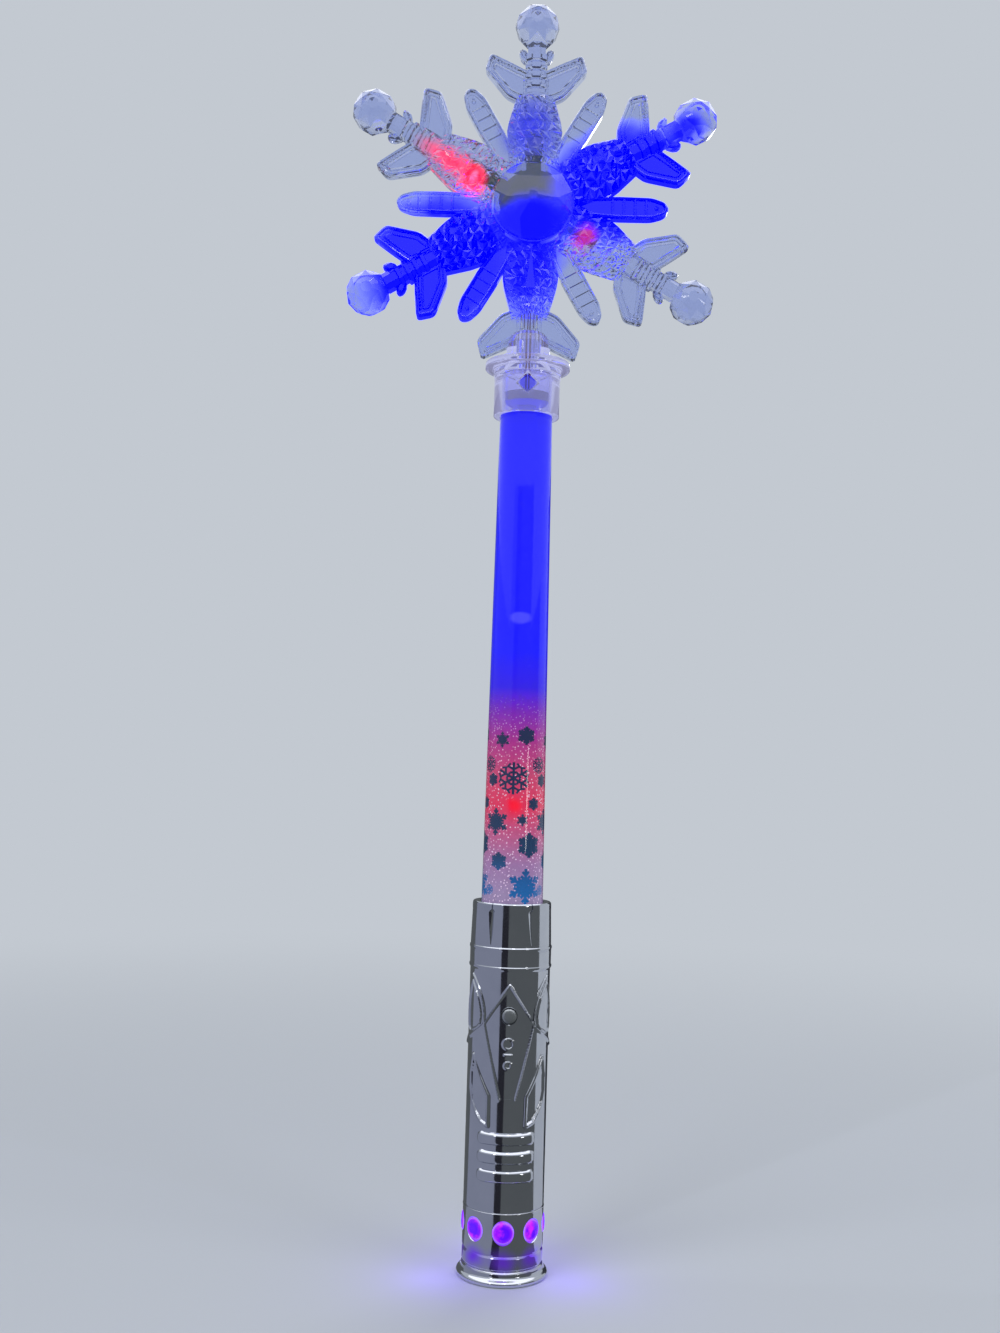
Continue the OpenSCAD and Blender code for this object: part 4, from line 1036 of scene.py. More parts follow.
@dataclass
class Handle:
    """Chromed grip in two shells with raised ornament, its battery door and its button.

    Ornament is drawn as degrees from the front and height, and each kind of line has its height and width as
    shares of a plain line's. The outline is height and radius, the bore is radius and height, and bosses,
    holes and the button are radius and place along Y.
    """

    columns: int = 190
    rows: tuple[tuple[float, float, int], ...] = (
        (22.2, 57.0, 124), (57.0, 97.0, 168), (97.0, 105.4, 66), (105.4, 118.6, 56),
    )
    outline: Pairs = (
        (22.2, 12.8), (22.5, GRIP_R), (97.2, GRIP_R), (97.5, 13.18), (97.9, 13.4), (98.4, 13.42),
        (98.75, 13.22), (99.1, 13.2), (103.1, 13.22), (103.5, 13.26), (104.0, 13.42), (104.5, 13.36),
        (104.8, 13.1), (105.1, 13.13), (117.9, 12.82), (118.35, 12.72), (118.6, 12.45),
    )
    line_half: float = 0.62
    line_high: float = 0.52
    loop_line: Pair = (1.0, 0.85)
    kite_line: Pair = (1.0, 0.8)
    kite_end_line: Pair = (0.4, 1.3)
    leaf_line: Pair = (1.25, 1.5)
    kite: Pairs = ((0.0, 93.15), (36.5, 80.5), (11.0, 57.3), (0.0, 57.3))
    outer_line: Pairs = (
        (64, 95.5), (58, 94.2), (52, 92.6), (47, 91.0), (43, 89.2), (40, 87.4), (38, 85.5), (36.8, 83.0),
        (37.5, 80.4), (45, 78.9), (62, 76.5), (76, 74.6), (90, 72.7),
    )
    inner_loop: Pairs = (
        (64, 93.4), (54, 90.2), (50, 88.6), (47, 86.8), (44.6, 84.8), (43.5, 83), (45, 80.4), (51, 79.0),
        (58, 78.2), (65, 77.5), (70, 77.6), (74, 78.5), (76, 80), (77, 84.5), (75.5, 87), (73, 89),
    )
    leaf_frame: Pairs = (
        (56.5, 70.2), (42, 64), (27.5, 58.2), (27, 48.9), (38, 50), (48.5, 52.7), (57, 56), (62, 59.5),
        (61.5, 65),
    )
    flank_start: float = 0.5
    flank_run: float = 0.6
    flank_cut: float = 0.5
    bars: tuple[float, ...] = (33.6, 39.35, 45.1)
    bar_half: Pair = (7.4, 0.4)
    bar_round: float = 1.5
    bar_slope: float = 1.85
    bar_high: float = 1.0
    mark_rings: Pairs = ((74.7, 1.6), (68.0, 1.05))
    mark_bar: Pairs = ((0.0, 71.35), (1.1, 71.35))
    mark_half: float = 0.62
    mark_high: float = 0.3
    flute_foot: float = 105.2
    flute_head: float = 115.4
    flute_round: float = 1.2
    flute_half: float = 1.5
    flute_least: float = 0.001
    flute_depth: float = 0.75
    flute_pitch: float = 60.0
    flute_narrowing: float = 0.75
    flute_fading: float = 0.6
    seam_depth: float = 0.16
    seam_half: float = 1.6
    bore: Pairs = (
        (BORE_R, 20.0), (BORE_R, 99.75), (8.06, 99.75), (8.06, 101.95), (BORE_R, 101.95), (BORE_R, 104.5),
        (10.31, 104.5), (10.31, 118.0), (10.7, 121.0),
    )
    screw_x: float = 4.6
    screw_z: float = 93.0
    front_boss: Pairs = ((2.0, -11.0), (2.0, -0.05))
    pilot: Pairs = ((1.05, -7.0), (1.05, 1.0))
    rear_boss: Pairs = ((2.9, 0.05), (2.9, 13.0))
    rear_boss_limit: Pairs = ((12.4, 80.0), (12.4, 105.0))
    screw_way: Pairs = ((1.15, -1.0), (1.15, 2.5), (2.05, 2.5), (2.05, 11.4), (2.5, 13.4))
    opening: tuple[Place, Place] = ((-9.8, 3.0, 27.2), (9.8, 20.0, 79.5))
    button_z: float = 83.5
    dish: Pairs = ((3.3, -15.0), (3.2, -13.25), (2.6, -12.75), (2.6, -6.0))
    button: Pairs = (
        (0.4, -13.6), (1.3, -13.57), (1.9, -13.48), (2.2, -13.3), (2.3, -13.05), (2.3, -10.79), (3.4, -10.79),
        (3.4, -9.79), (0.4, -9.79),
    )
    button_segments: int = 64
    crease: float = 40.0
    door: Door = field(default_factory=Door)

    def drawn(self, corners: Pairs) -> np.ndarray:
        """Returns corners given as degrees round the grip and height, as arc length and height."""
        return np.array([(GRIP_R * math.radians(angle), z) for angle, z in corners])

    def ridge(self, distance: np.ndarray, high: float = 1.0, wide: float = 1.0) -> np.ndarray:
        """Returns a bead over ornament lines, whose height and width are shares of a plain line's."""
        return high * self.line_high * bead(distance, wide * self.line_half)

    def side_ornament(self, angle: np.ndarray, z: np.ndarray) -> np.ndarray:
        """Height of the curved lines beside the kite: a bead over the outer line and over the inner loop.

        Args:
            angle: Degrees from the front or the back.
            z: Heights along the wand.

        Returns:
            Heights over the grip.
        """
        arc = GRIP_R * np.radians(np.abs(angle))
        outer = self.ridge(line_distance(arc, z, self.drawn(self.outer_line), False))
        inner = self.ridge(line_distance(arc, z, self.drawn(self.inner_loop), True), *self.loop_line)
        return np.maximum(outer, inner)

    def pillow_bars(self, x: np.ndarray, z: np.ndarray) -> np.ndarray:
        """Height of the bars at the grip's foot: a root of 1 - (1 - t)^2.

        t is the depth inside a bar's rounded outline over the length of its slope, up to 1.

        Args:
            x: Places across, from the middle.
            z: Heights along the wand.

        Returns:
            Heights over the grip, 0 outside the bars.
        """
        high = np.zeros_like(z)
        for middle in self.bars:
            over = np.stack([x - self.bar_half[0], np.abs(z - middle) - self.bar_half[1]], -1)
            gap = np.linalg.norm(np.maximum(over, 0.0), axis=-1) + np.minimum(over.max(-1), 0.0)
            depth = np.clip((self.bar_round - gap) / self.bar_slope, 0.0, 1.0)
            high = np.maximum(high, self.bar_high * np.sqrt(1 - (1 - depth) ** 2))
        return high

    def switch_marks(self, arc: np.ndarray, z: np.ndarray) -> np.ndarray:
        """Height of the marks under the button: a bead over two circles and a short bar.

        Args:
            arc: Arc lengths from the front.
            z: Heights along the wand.

        Returns:
            Heights over the grip.
        """
        rings = [np.abs(np.hypot(arc, z - middle) - size) for middle, size in self.mark_rings]
        bar = line_distance(arc, z, np.array(self.mark_bar), False)
        return self.mark_high * bead(np.minimum.reduce([*rings, bar]), self.mark_half)

    def front_ornament(self, angle: np.ndarray, z: np.ndarray) -> np.ndarray:
        """Height of the ornament in front: curved lines, kite, leaf frames, pillow bars and switch marks.

        The kite's end is a lower and wider line than its sides. Inside a leaf frame the ornament is cut back
        by a smooth step, which makes the rim's inner flank steep. Nothing goes under the grip.

        Args:
            angle: Degrees from the front.
            z: Heights along the wand.

        Returns:
            Heights over the grip.
        """
        arc = GRIP_R * np.radians(np.abs(angle))
        kite, leaf = self.drawn(self.kite), self.drawn(self.leaf_frame)
        edge = line_distance(arc, z, leaf, True)
        lines = np.maximum.reduce([
            self.side_ornament(angle, z),
            self.ridge(line_distance(arc, z, kite[:3], False), *self.kite_line),
            self.ridge(line_distance(arc, z, kite[2:], False), *self.kite_end_line),
            self.ridge(edge, *self.leaf_line),
        ])
        step = inside(arc, z, leaf) * np.clip((edge - self.flank_start) / self.flank_run, 0.0, 1.0)
        lines = lines - self.flank_cut * step * step * (3 - 2 * step)
        bars = self.pillow_bars(GRIP_R * np.sin(np.radians(np.abs(angle))), z)
        return np.maximum.reduce([lines, bars, self.switch_marks(arc, z)])

    def flutes(self, angle: np.ndarray, z: np.ndarray) -> np.ndarray:
        """Depth of the six collar flutes: V-grooves, round under the rim, that narrow and fade downwards.

        With t the share of the way up a flute, its half width goes as t to the power of its narrowing, and
        its depth as t to the power of its fading. A quarter of an ellipse rounds its head.

        Args:
            angle: Degrees from the front or the back.
            z: Heights along the wand.

        Returns:
            Depths under the collar.
        """
        rise = np.clip((z - self.flute_foot) / (self.flute_head - self.flute_foot), 0.0, 1.0)
        past = np.maximum(z - self.flute_head, 0.0) / self.flute_round
        head = np.sqrt(np.clip(1 - past**2, 0.0, 1.0))
        half = np.maximum(self.flute_half * rise**self.flute_narrowing * head, self.flute_least)
        away = GRIP_R * np.radians(np.abs(np.abs(angle) % self.flute_pitch - self.flute_pitch / 2))
        depth = self.flute_depth * rise**self.flute_fading
        return depth * np.clip(1 - away / half, 0.0, 1.0) * (z > self.flute_foot)

    def half(self, front: bool) -> Solid:
        """Half of the grip: its radius is the outline plus the ornament, less the flutes and the seam groove.

        Args:
            front: True for the half with the button.

        Returns:
            The solid half, not yet bored.
        """
        rows = np.unique(np.concatenate([np.linspace(*span) for span in self.rows]))
        angle, z = np.meshgrid(np.linspace(-90.0, 90.0, self.columns), rows)
        ornament = self.front_ornament(angle, z) if front else self.side_ornament(angle, z)
        radius = np.interp(z, *np.array(self.outline).T) + ornament
        radius = radius - self.flutes(angle, z) - self.seam_depth * bead(90.0 - np.abs(angle), self.seam_half)
        way = 1.0 if front else -1.0
        x, y = way * radius * np.sin(np.radians(angle)), -way * radius * np.cos(np.radians(angle))
        # Both ends of a row lie exactly on the parting plane.
        y[:, [0, -1]] = 0.0
        return loft(np.stack([x, y, z], -1))

    def at_screws(self, profile: Pairs) -> list[Solid]:
        """Returns a turned solid on the axis of each shell screw."""
        return [along_y(profile, x, self.screw_z) for x in (-self.screw_x, self.screw_x)]

    def front_shell(self) -> bpy.types.Object:
        """Bores the front half, adds its screw bosses, and cuts pilot holes and the button's dished hole.

        Returns:
            The shell's object.
        """
        piece = self.half(True).to_object("front_shell_chrome")
        combine(piece, loft(spun(self.bore)), Cut.REMOVE)
        combine(piece, Solid.joined(self.at_screws(self.front_boss)), Cut.ADD)
        holes = [*self.at_screws(self.pilot), along_y(self.dish, 0.0, self.button_z)]
        combine(piece, Solid.joined(holes), Cut.REMOVE)
        return piece

    def rear_shell(self) -> bpy.types.Object:
        """Bores the rear half, adds its screw bosses, and cuts the screw holes and the door's opening.

        Returns:
            The shell's object.
        """
        piece = self.half(False).to_object("rear_shell_chrome")
        combine(piece, loft(spun(self.bore)), Cut.REMOVE)
        bosses = Solid.joined(self.at_screws(self.rear_boss)).to_object("bosses")
        combine(bosses, loft(spun(self.rear_boss_limit)), Cut.SHARE)
        combine(piece, bosses, Cut.ADD)
        combine(piece, Solid.joined([*self.at_screws(self.screw_way), brick(*self.opening)]), Cut.REMOVE)
        return piece

    def build(self) -> None:
        """Builds and dresses both shells, the door and the button."""
        show(self.front_shell(), Body.WAND, CHROME, Slot.CHROME, self.crease, "front_shell")
        show(self.rear_shell(), Body.WAND, CHROME, Slot.CHROME, self.crease, "rear_shell")
        self.door.build()
        button = along_y(self.button, 0.0, self.button_z, self.button_segments).to_object("push_button_satin")
        show(button, Body.BUTTON, SATIN_CHROME, Slot.CHROME, self.crease, "push_button")


@dataclass
class LitTube:
    """Tapered acrylic tube with its snap lug, the frosted film inside it and the flakes printed on the film.

    A flake is given by its kind, arc length from the front, height and size.
    """

    foot: float = 101.95
    top: float = 293.35
    foot_r: float = 10.18
    slope: float = -0.008255
    wall: float = 1.2
    flange_r: float = 11.2
    flange_top: float = 104.35
    mouth_round: float = 0.3
    segments: int = 128
    lug_gap: float = 0.3
    lug_round: float = 0.4
    lug_back: float = -7.9
    lug_half: float = 3.5
    lug_face: Pair = (9.0, 1.35)
    film_depth: float = 1.17
    film_thick: float = 0.4
    film_z: Pair = (106.1, 280.15)
    film_rows: int = 40
    prints: int = 3
    flake_arms: int = 6
    bar_rows: int = 4
    ink_low: float = 0.015
    ink_high: float = 0.05
    ink_step: float = 0.0005
    crease: float = 30.0
    flake_crease: float = 60.0
    flakes: tuple[tuple[FlakeKind, float, float, float], ...] = (
        (FlakeKind.STAR, -0.8, 158.6, 5.2), (FlakeKind.SPIKY, -6.4, 144.4, 4.4),
        (FlakeKind.CHUNKY, 4.9, 137.1, 4.0), (FlakeKind.CHUNKY, -5.0, 131.8, 2.9),
        (FlakeKind.SPIKY, 2.4, 145.2, 2.0), (FlakeKind.CHUNKY, 6.2, 150.4, 2.1),
        (FlakeKind.SPIKY, 4.0, 123.8, 5.8), (FlakeKind.CHUNKY, -8.2, 158.0, 2.2),
        (FlakeKind.STAR, 8.0, 163.0, 2.8), (FlakeKind.STAR, -8.3, 122.5, 1.7),
        (FlakeKind.SPIKY, -4.8, 171.0, 2.6), (FlakeKind.CHUNKY, 3.0, 172.5, 3.0),
    )

    def radius(self, z: np.ndarray | float) -> np.ndarray | float:
        """Returns the tube's outer radius: the foot's radius plus slope times the height over the foot."""
        return self.foot_r + self.slope * (z - self.foot)

    def tube(self) -> bpy.types.Object:
        """Turned tube with a flanged foot and a rounded mouth, plus a diamond lug that ramps out downwards.

        Returns:
            The tube's object.
        """
        end = self.radius(self.top)
        section = (
            (self.foot_r - self.wall, self.foot),
            (self.flange_r, self.foot),
            (self.flange_r, self.flange_top),
            (self.radius(self.flange_top), self.flange_top),
            (end, self.top),
            (end - self.wall, self.top),
        )
        section = eased(section, self.mouth_round)
        piece = hoop(spun(section, self.segments)).to_object("light_tube_acrylic")
        diamond = eased(inset(np.array(LUG_DIAMOND), self.lug_gap), self.lug_round)
        least, ramp = self.lug_face
        face = -(least + ramp * (self.lug_half - diamond[:, 1]) / (2 * self.lug_half))
        combine(piece, through_y(diamond, LUG_Z, self.lug_back, face), Cut.ADD)
        return piece

    def film(self) -> Solid:
        """Turned film pressed on the tube's inside, so that the wall shows it right out to the tube's edges.

        Returns:
            The closed film.
        """
        level = np.linspace(*self.film_z, self.film_rows)
        outside = np.stack([self.radius(level) - self.film_depth, level], -1)
        return hoop(spun(np.concatenate([outside, outside[::-1] - np.array([self.film_thick, 0.0])])))

    def flake(self, kind: FlakeKind, arc: float, z: float, size: float, turn: float) -> Solid:
        """One printed flake: thin bars between polar points, once for each arm, bent on to the film.

        A flat point (u, v) goes to the film's radius at height v, turned by u over the film's radius.

        Args:
            kind: Bars of one arm.
            arc: Arc length from the front, on the film.
            z: Height of the flake's centre.
            size: Radius to its tips.
            turn: Turn of the whole print about the wand's axis, in radians.

        Returns:
            Thin closed bars on the film, each a hair above the one before it.
        """
        spin = np.arange(self.flake_arms)[:, None] * TURN / self.flake_arms
        r0, a0, r1, a1, half = np.array(kind.value).T
        angles = [np.radians(degrees) + spin for degrees in (a0, a1)]
        start, end = (
            np.stack([r * np.sin(a), r * np.cos(a)], -1).reshape(-1, 2) for r, a in zip((r0, r1), angles)
        )
        way = (end - start) / np.linalg.norm(end - start, axis=1)[:, None]
        wide = np.stack([-way[:, 1], way[:, 0]], -1) * np.tile(half, self.flake_arms)[:, None]
        share = np.linspace(0.0, 1.0, self.bar_rows)[:, None, None]
        middle = (1 - share) * start + share * end
        rings = np.stack([middle - wide, middle + wide, middle + wide, middle - wide], 2) * size
        lift = np.array([self.ink_low, self.ink_low, self.ink_high, self.ink_high])
        lift = lift + self.ink_step * np.arange(rings.shape[1])[:, None]
        u, v = arc + rings[..., 0], z + rings[..., 1]
        radius = self.radius(v) - self.film_depth + lift
        turned = u / (self.radius(z) - self.film_depth) + turn
        bent = np.stack([radius * np.sin(turned), -radius * np.cos(turned), v], -1)
        return Solid.joined([loft(bent[:, i]) for i in range(bent.shape[1])])

    def all_flakes(self) -> Solid:
        """Returns the bars of every flake, which stand three times round the film."""
        turns = [i * TURN / self.prints for i in range(self.prints)]
        return Solid.joined([self.flake(*flake, turn) for turn in turns for flake in self.flakes])

    def build(self) -> None:
        """Builds and dresses the tube, the film and its print."""
        show(self.tube(), Body.WAND, ACRYLIC, Slot.TUBE, self.crease, "light_tube")
        film = self.film().to_object("printed_film_frosted")
        show(film, Body.WAND, FILM, Slot.PRINT, self.crease, "printed_film")
        show(self.all_flakes().to_object("printed_flakes"), Body.WAND, INK, Slot.PRINT, self.flake_crease)


@dataclass
class Neck:
    """Clear cup on the tube: skirt with a diamond snap hole, flared flange, and a domed boss for the stem."""

    section: Pairs = (
        (8.867, 279.15), (11.02, 279.15), (11.02, 291.2), (11.25, 293.2), (12.0, 294.5), (13.2, 295.1),
        (14.22, 295.2), (14.22, 297.4), (7.3, 297.4), (7.3, 303.9), (6.75, 306.2), (5.3, 307.7), (2.8, 308.2),
        (2.4, 308.2), (2.4, 293.5), (8.867, 293.5),
    )
    socket: tuple[Place, Place] = ((-3.35, -3.55, 299.0), (3.35, 3.55, 312.0))
    leaf_slot: tuple[Place, Place] = ((-16.0, -2.9, 302.4), (16.0, 2.9, 312.0))
    hole_y: Pair = (-6.0, -13.0)
    hole_round: float = 0.3
    edge_round: float = 0.45
    segments: int = 128
    crease: float = 30.0

    def build(self) -> None:
        """Turns the cup, cuts the socket, the leaf slot and the snap hole, and dresses it."""
        section = eased(self.section, self.edge_round)
        piece = hoop(spun(section, self.segments)).to_object("neck_collar_clear")
        combine(piece, brick(*self.socket), Cut.REMOVE)
        combine(piece, brick(*self.leaf_slot), Cut.REMOVE)
        diamond = eased(LUG_DIAMOND, self.hole_round)
        combine(piece, through_y(diamond, LUG_Z, *self.hole_y), Cut.REMOVE)
        show(piece, Body.WAND, NECK_STYRENE, Slot.NECK, self.crease, "neck_collar")


@dataclass
class Snowflake:
    """Clear six-armed head in two halves: crystal beds, laddered stubs, balls, wing leaves and spikes.

    A half is drawn lying down: a along an arm, b across it, h out of the parting plane. The outlines of beds,
    leaves, spikes and the spine are a and b as shares of the reach, and layers are inset and height.
    """

    arms: tuple[float, ...] = (90.0, 150.0, 210.0, 270.0, 330.0, 30.0)
    stem_arm: float = 270.0
    half_step: float = 30.0
    part_gap: float = 0.03
    seed: int = 7
    hub: Pairs = ((14.5, 0.0), (14.5, 3.7), (14.15, 4.9), (13.95, 5.4), (13.6, 5.4), (13.55, 4.6))
    hub_segments: int = 72
    ball: Pairs = ((7.6, 0.0), (6.9, 3.3), (4.4, 6.2), (1.9, 7.2))
    ball_facets: int = 8
    bed: Pairs = ((0.16, 0.125), (0.42, 0.15), (0.6, 0.1))
    bed_ridge: Place = (4.45, 4.5, 3.7)
    bed_edge: float = 1.8
    bed_bulge: float = 0.8
    bed_rows: int = 10
    bed_columns: int = 6
    bed_rough: float = 0.3
    bed_shift: float = 0.25
    bed_tips: Pair = (0.3, 1.0)
    stub_from: float = 0.5 * REACH
    stub_to: float = REACH - 6.5
    stem_stub_to: float = 43.4
    stub_section: Pairs = ((-3.0, 0.0), (3.0, 0.0), (3.0, 2.0), (1.3, 3.45), (-1.3, 3.45), (-3.0, 2.0))
    stub_swell: Pairs = ((-0.7, 0.0), (0.7, 0.0), (0.7, 0.35), (0.5, 0.7), (-0.5, 0.7), (-0.7, 0.35))
    ladder: tuple[float, ...] = (0.66, 0.71, 0.76, 0.81)
    ladder_foot: float = 0.95
    ladder_top: float = 0.6
    leaf: Pairs = ((0.54, 0.02), (0.73, 0.02), (0.785, 0.13), (0.84, 0.25), (0.745, 0.278), (0.6, 0.155))
    leaf_layers: Pairs = (
        (0.0, 0.0), (0.0, 1.5), (0.35, 2.25), (0.8, 2.6), (1.15, 2.5), (1.55, 1.7), (2.25, 1.7), (2.5, 2.2),
        (2.75, 2.2), (3.0, 1.6),
    )
    leaf_round: float = 1.6
    inner_round: Pair = (0.4, 0.15)
    spike: Pairs = (
        (0.19, -0.045), (0.46, -0.062), (0.64, -0.06), (0.71, -0.038), (0.735, 0.0), (0.71, 0.038),
        (0.64, 0.06), (0.46, 0.062), (0.19, 0.045),
    )
    spike_layers: Pairs = ((0.0, 0.0), (0.0, 1.5), (0.35, 2.25), (0.75, 2.6), (1.05, 2.5), (1.45, 1.8))
    spike_round: float = 1.5
    petal: Pairs = ((1.0, 0.0), (0.92, 0.6), (0.5, 1.0))
    petal_facets: int = 10
    petal_size: Place = (2.6, 1.55, 2.3)
    petal_turn: float = 32.0
    petal_at: Pair = (0.83 * REACH, 4.1)
    dot: Pairs = ((0.62, 0.0), (0.55, 0.45), (0.25, 0.75))
    dot_facets: int = 6
    dots: int = 7
    dot_row: Pairs = ((0.752, 0.105), (0.795, 0.213))
    rung_section: Pairs = ((-0.55, 1.5), (0.55, 1.5), (0.25, 2.35), (-0.25, 2.35))
    rung_half: float = 2.9
    rung_shares: tuple[float, ...] = (0.43, 0.49, 0.55, 0.61)
    rung_dot: Pairs = ((0.8, 0.0), (0.7, 0.5), (0.3, 0.85))
    rung_dot_facets: int = 8
    rung_dot_share: float = 0.665
    panel_high: float = 1.6
    stem: tuple[Place, Place] = ((43.0, -3.2, 0.0), (52.7, 3.2, 3.4))
    spine: Pairs = ((0.24, 0.0), (0.47, -0.024), (0.47, 0.024))
    spine_low: float = 2.0
    spine_high: Place = (5.2, 5.4, 5.4)
    pocket: Pairs = ((10.3, -1.0), (10.3, 2.4))
    pocket_segments: int = 64
    finger: tuple[Place, Place] = ((8.0, -2.8, -1.2), (25.5, 2.8, 2.45))
    channel: Pairs = ((2.4, 6.0), (2.4, 56.0))
    crease: float = 14.0

    def at(self, part: Solid, angle: float) -> Solid:
        """Stands a part up in the head, just in front of the parting plane.

        Args:
            part: Part drawn lying down, along the first axis.
            angle: Degrees of its arm.

        Returns:
            The part on its arm.
        """
        c, s = math.cos(math.radians(angle)), math.sin(math.radians(angle))
        upright = np.array([[c, -s, 0.0], [0.0, 0.0, -1.0], [s, c, 0.0]])
        return part.placed(upright, (0.0, -self.part_gap, HUB_Z))

    def repeated(self, part: Solid, angles: tuple[float, ...] | list[float]) -> list[Solid]:
        """Returns a part stood up on each of the arms at the given angles."""
        return [self.at(part, angle) for angle in angles]

    def crystal(self, rings: Pairs, count: int, place: Place = (0.0, 0.0, 0.0)) -> Solid:
        """Cut stone: rings of points, each turned by half a step from the one below, joined by triangles.

        Args:
            rings: Radius and height of each ring, from the girdle up.
            count: Points in each ring.
            place: Where the middle of its back is.

        Returns:
            The closed stone with a flat back and a flat table.
        """
        radius, height = np.array(rings).T
        angle = (np.arange(count)[None] + 0.5 * np.arange(len(rings))[:, None]) * TURN / count
        flat = radius[:, None] * np.stack([np.cos(angle), np.sin(angle)])
        loops = np.stack([*flat, np.broadcast_to(height[:, None], angle.shape)], -1)
        stone = loft(loops + np.array(place))
        quads, *ends = stone.faces
        return Solid(stone.points, [np.concatenate([quads[:, [0, 1, 3]], quads[:, [3, 1, 2]]]), *ends])

    def crystal_bed(self, rng: np.random.Generator) -> Solid:
        """Broad bed of crushed crystal: a ridged lattice of triangles, each raised to a point at its middle.

        The ridge height falls to the bed's side as (1 - |t|) to the power of its bulge, t being the share
        across.
        Every second row is shifted by half a step, and the lattice and its tips are shaken at random.

        Args:
            rng: Source of the random shifts.

        Returns:
            The closed bed.
        """
        rows, columns = self.bed_rows, self.bed_columns
        share = np.array(self.bed) * REACH
        a = np.linspace(share[0, 0], share[-1, 0], rows)
        half = np.interp(a, share[:, 0], share[:, 1])
        t = np.broadcast_to(np.linspace(-1.0, 1.0, columns + 1), (rows, columns + 1)).copy()
        t[1::2, 1:-1] += 1.0 / columns
        # The last inner point of a shifted row keeps off the bed's side.
        t[1::2, -2] -= 0.5 / columns
        ridge = np.interp(a, share[:, 0], self.bed_ridge)
        h = self.bed_edge + (ridge[:, None] - self.bed_edge) * (1 - np.abs(t)) ** self.bed_bulge
        h[:, 1:-1] += rng.uniform(-self.bed_rough, self.bed_rough, h[:, 1:-1].shape)
        top = np.stack([np.broadcast_to(a[:, None], t.shape), half[:, None] * t, h], -1)
        top[1:-1, 1:-1, :2] += rng.uniform(-self.bed_shift, self.bed_shift, top[1:-1, 1:-1, :2].shape)
        number = np.arange(t.size).reshape(t.shape)
        low, high = number[:-1, :-1].ravel(), number[1:, 1:].ravel()
        up, side = number[1:, :-1].ravel(), number[:-1, 1:].ravel()
        triangles = np.concatenate([np.stack([low, up, high], -1), np.stack([low, high, side], -1)])
        flat = top.reshape(-1, 3)
        tips = flat[triangles].mean(1)
        tips[:, 2] += rng.uniform(*self.bed_tips, len(tips))
        tip = np.arange(len(tips)) + len(flat)
        facets = [np.stack([triangles[:, i], triangles[:, (i + 1) % 3], tip], -1) for i in range(3)]
        edge = np.concatenate([number[:-1, 0], number[-1, :-1], number[:0:-1, -1], number[0, :0:-1]])
        floor = flat[edge] * np.array([1.0, 1.0, 0.0])
        base = np.arange(len(edge)) + len(flat) + len(tips)
        walls = np.stack([base, np.roll(base, -1), np.roll(edge, -1), edge], -1)
        return Solid(np.concatenate([flat, tips, floor]), [np.concatenate(facets), walls, base[None, ::-1]])

    def stub(self, end: float, steps: tuple[float, ...]) -> Solid:
        """Slim bevelled bar along the arm whose section swells at each ladder step.

        Args:
            end: Where the bar ends.
            steps: Shares of the reach where the ladder steps are.

        Returns:
            The closed bar.
        """
        section = np.array(self.stub_section)
        swollen = section + np.array(self.stub_swell)
        foot, top = self.ladder_foot, self.ladder_top
        places, shapes = [self.stub_from], [section]
        for step in steps:
            places += [step * REACH + shift for shift in (-foot, -top, top, foot)]
            shapes += [section, swollen, swollen, section]
        a = np.broadcast_to(np.array([*places, end])[:, None], (len(places) + 1, len(section)))
        return loft(np.stack([a, *np.moveaxis(np.array([*shapes, section]), -1, 0)], -1))

    def plate(self, outline: Pairs, layers: Pairs, cut: float) -> Solid:
        """Plate over an outline: loops moved inwards by each layer's inset at each layer's height.

        Args:
            outline: Anticlockwise corners as shares of the reach.
            layers: Inset and height pairs, from the back to the panel.
            cut: Rounding of the corners, which falls by a share of the inset to a least one.

        Returns:
            The closed plate.
        """
        corners = np.array(outline) * REACH
        fall, least = self.inner_round
        loops = [eased(inset(corners, width), max(cut - fall * width, least)) for width, _ in layers]
        heights = [np.full((len(loop), 1), high) for loop, (_, high) in zip(loops, layers)]
        return loft(np.stack([np.concatenate(pair, -1) for pair in zip(loops, heights)]))

    def leaves(self) -> Solid:
        """Returns both wing leaves of an arm: bevelled rim and a fine second ridge round a sunk panel."""
        right = self.plate(self.leaf, self.leaf_layers, self.leaf_round)
        return Solid.joined([right, right.mirrored()])

    def trims(self) -> Solid:
        """Petals by the ball and beads along the upper edge of both leaves.

        Returns:
            The petals and beads of one arm.
        """
        petal, parts = self.crystal(self.petal, self.petal_facets), []
        for side in (-1.0, 1.0):
            shape = about_z(math.radians(self.petal_turn) * side) @ np.diag(self.petal_size)
            parts.append(petal.placed(shape, (self.petal_at[0], side * self.petal_at[1], 0.0)))
        for a, b in np.linspace(*np.array(self.dot_row), self.dots) * REACH:
            for side in (-1.0, 1.0):
                parts.append(self.crystal(self.dot, self.dot_facets, (a, side * b, self.panel_high)))
        return Solid.joined(parts)

    def rungs(self) -> Solid:
        """Bevelled rungs across a spike's panel, with a bead over the last one.

        Returns:
            The rungs and the bead of one spike.
        """
        along, high = np.array(self.rung_section).T
        across = np.array([[self.rung_half], [-self.rung_half]])
        parts = []
        for share in self.rung_shares:
            parts.append(loft(np.stack(np.broadcast_arrays(share * REACH + along, across, high), -1)))
        place = (self.rung_dot_share * REACH, 0.0, self.panel_high)
        parts.append(self.crystal(self.rung_dot, self.rung_dot_facets, place))
        return Solid.joined(parts)

    def stem_spine(self) -> Solid:
        """Wedge that runs along the middle of the stem's bed, a little higher at its wide end.

        Returns:
            The closed wedge.
        """
        wedge = np.array(self.spine) * REACH
        heights = (np.full(len(wedge), self.spine_low), self.spine_high)
        return loft(np.stack([np.column_stack([wedge, high]) for high in heights]))

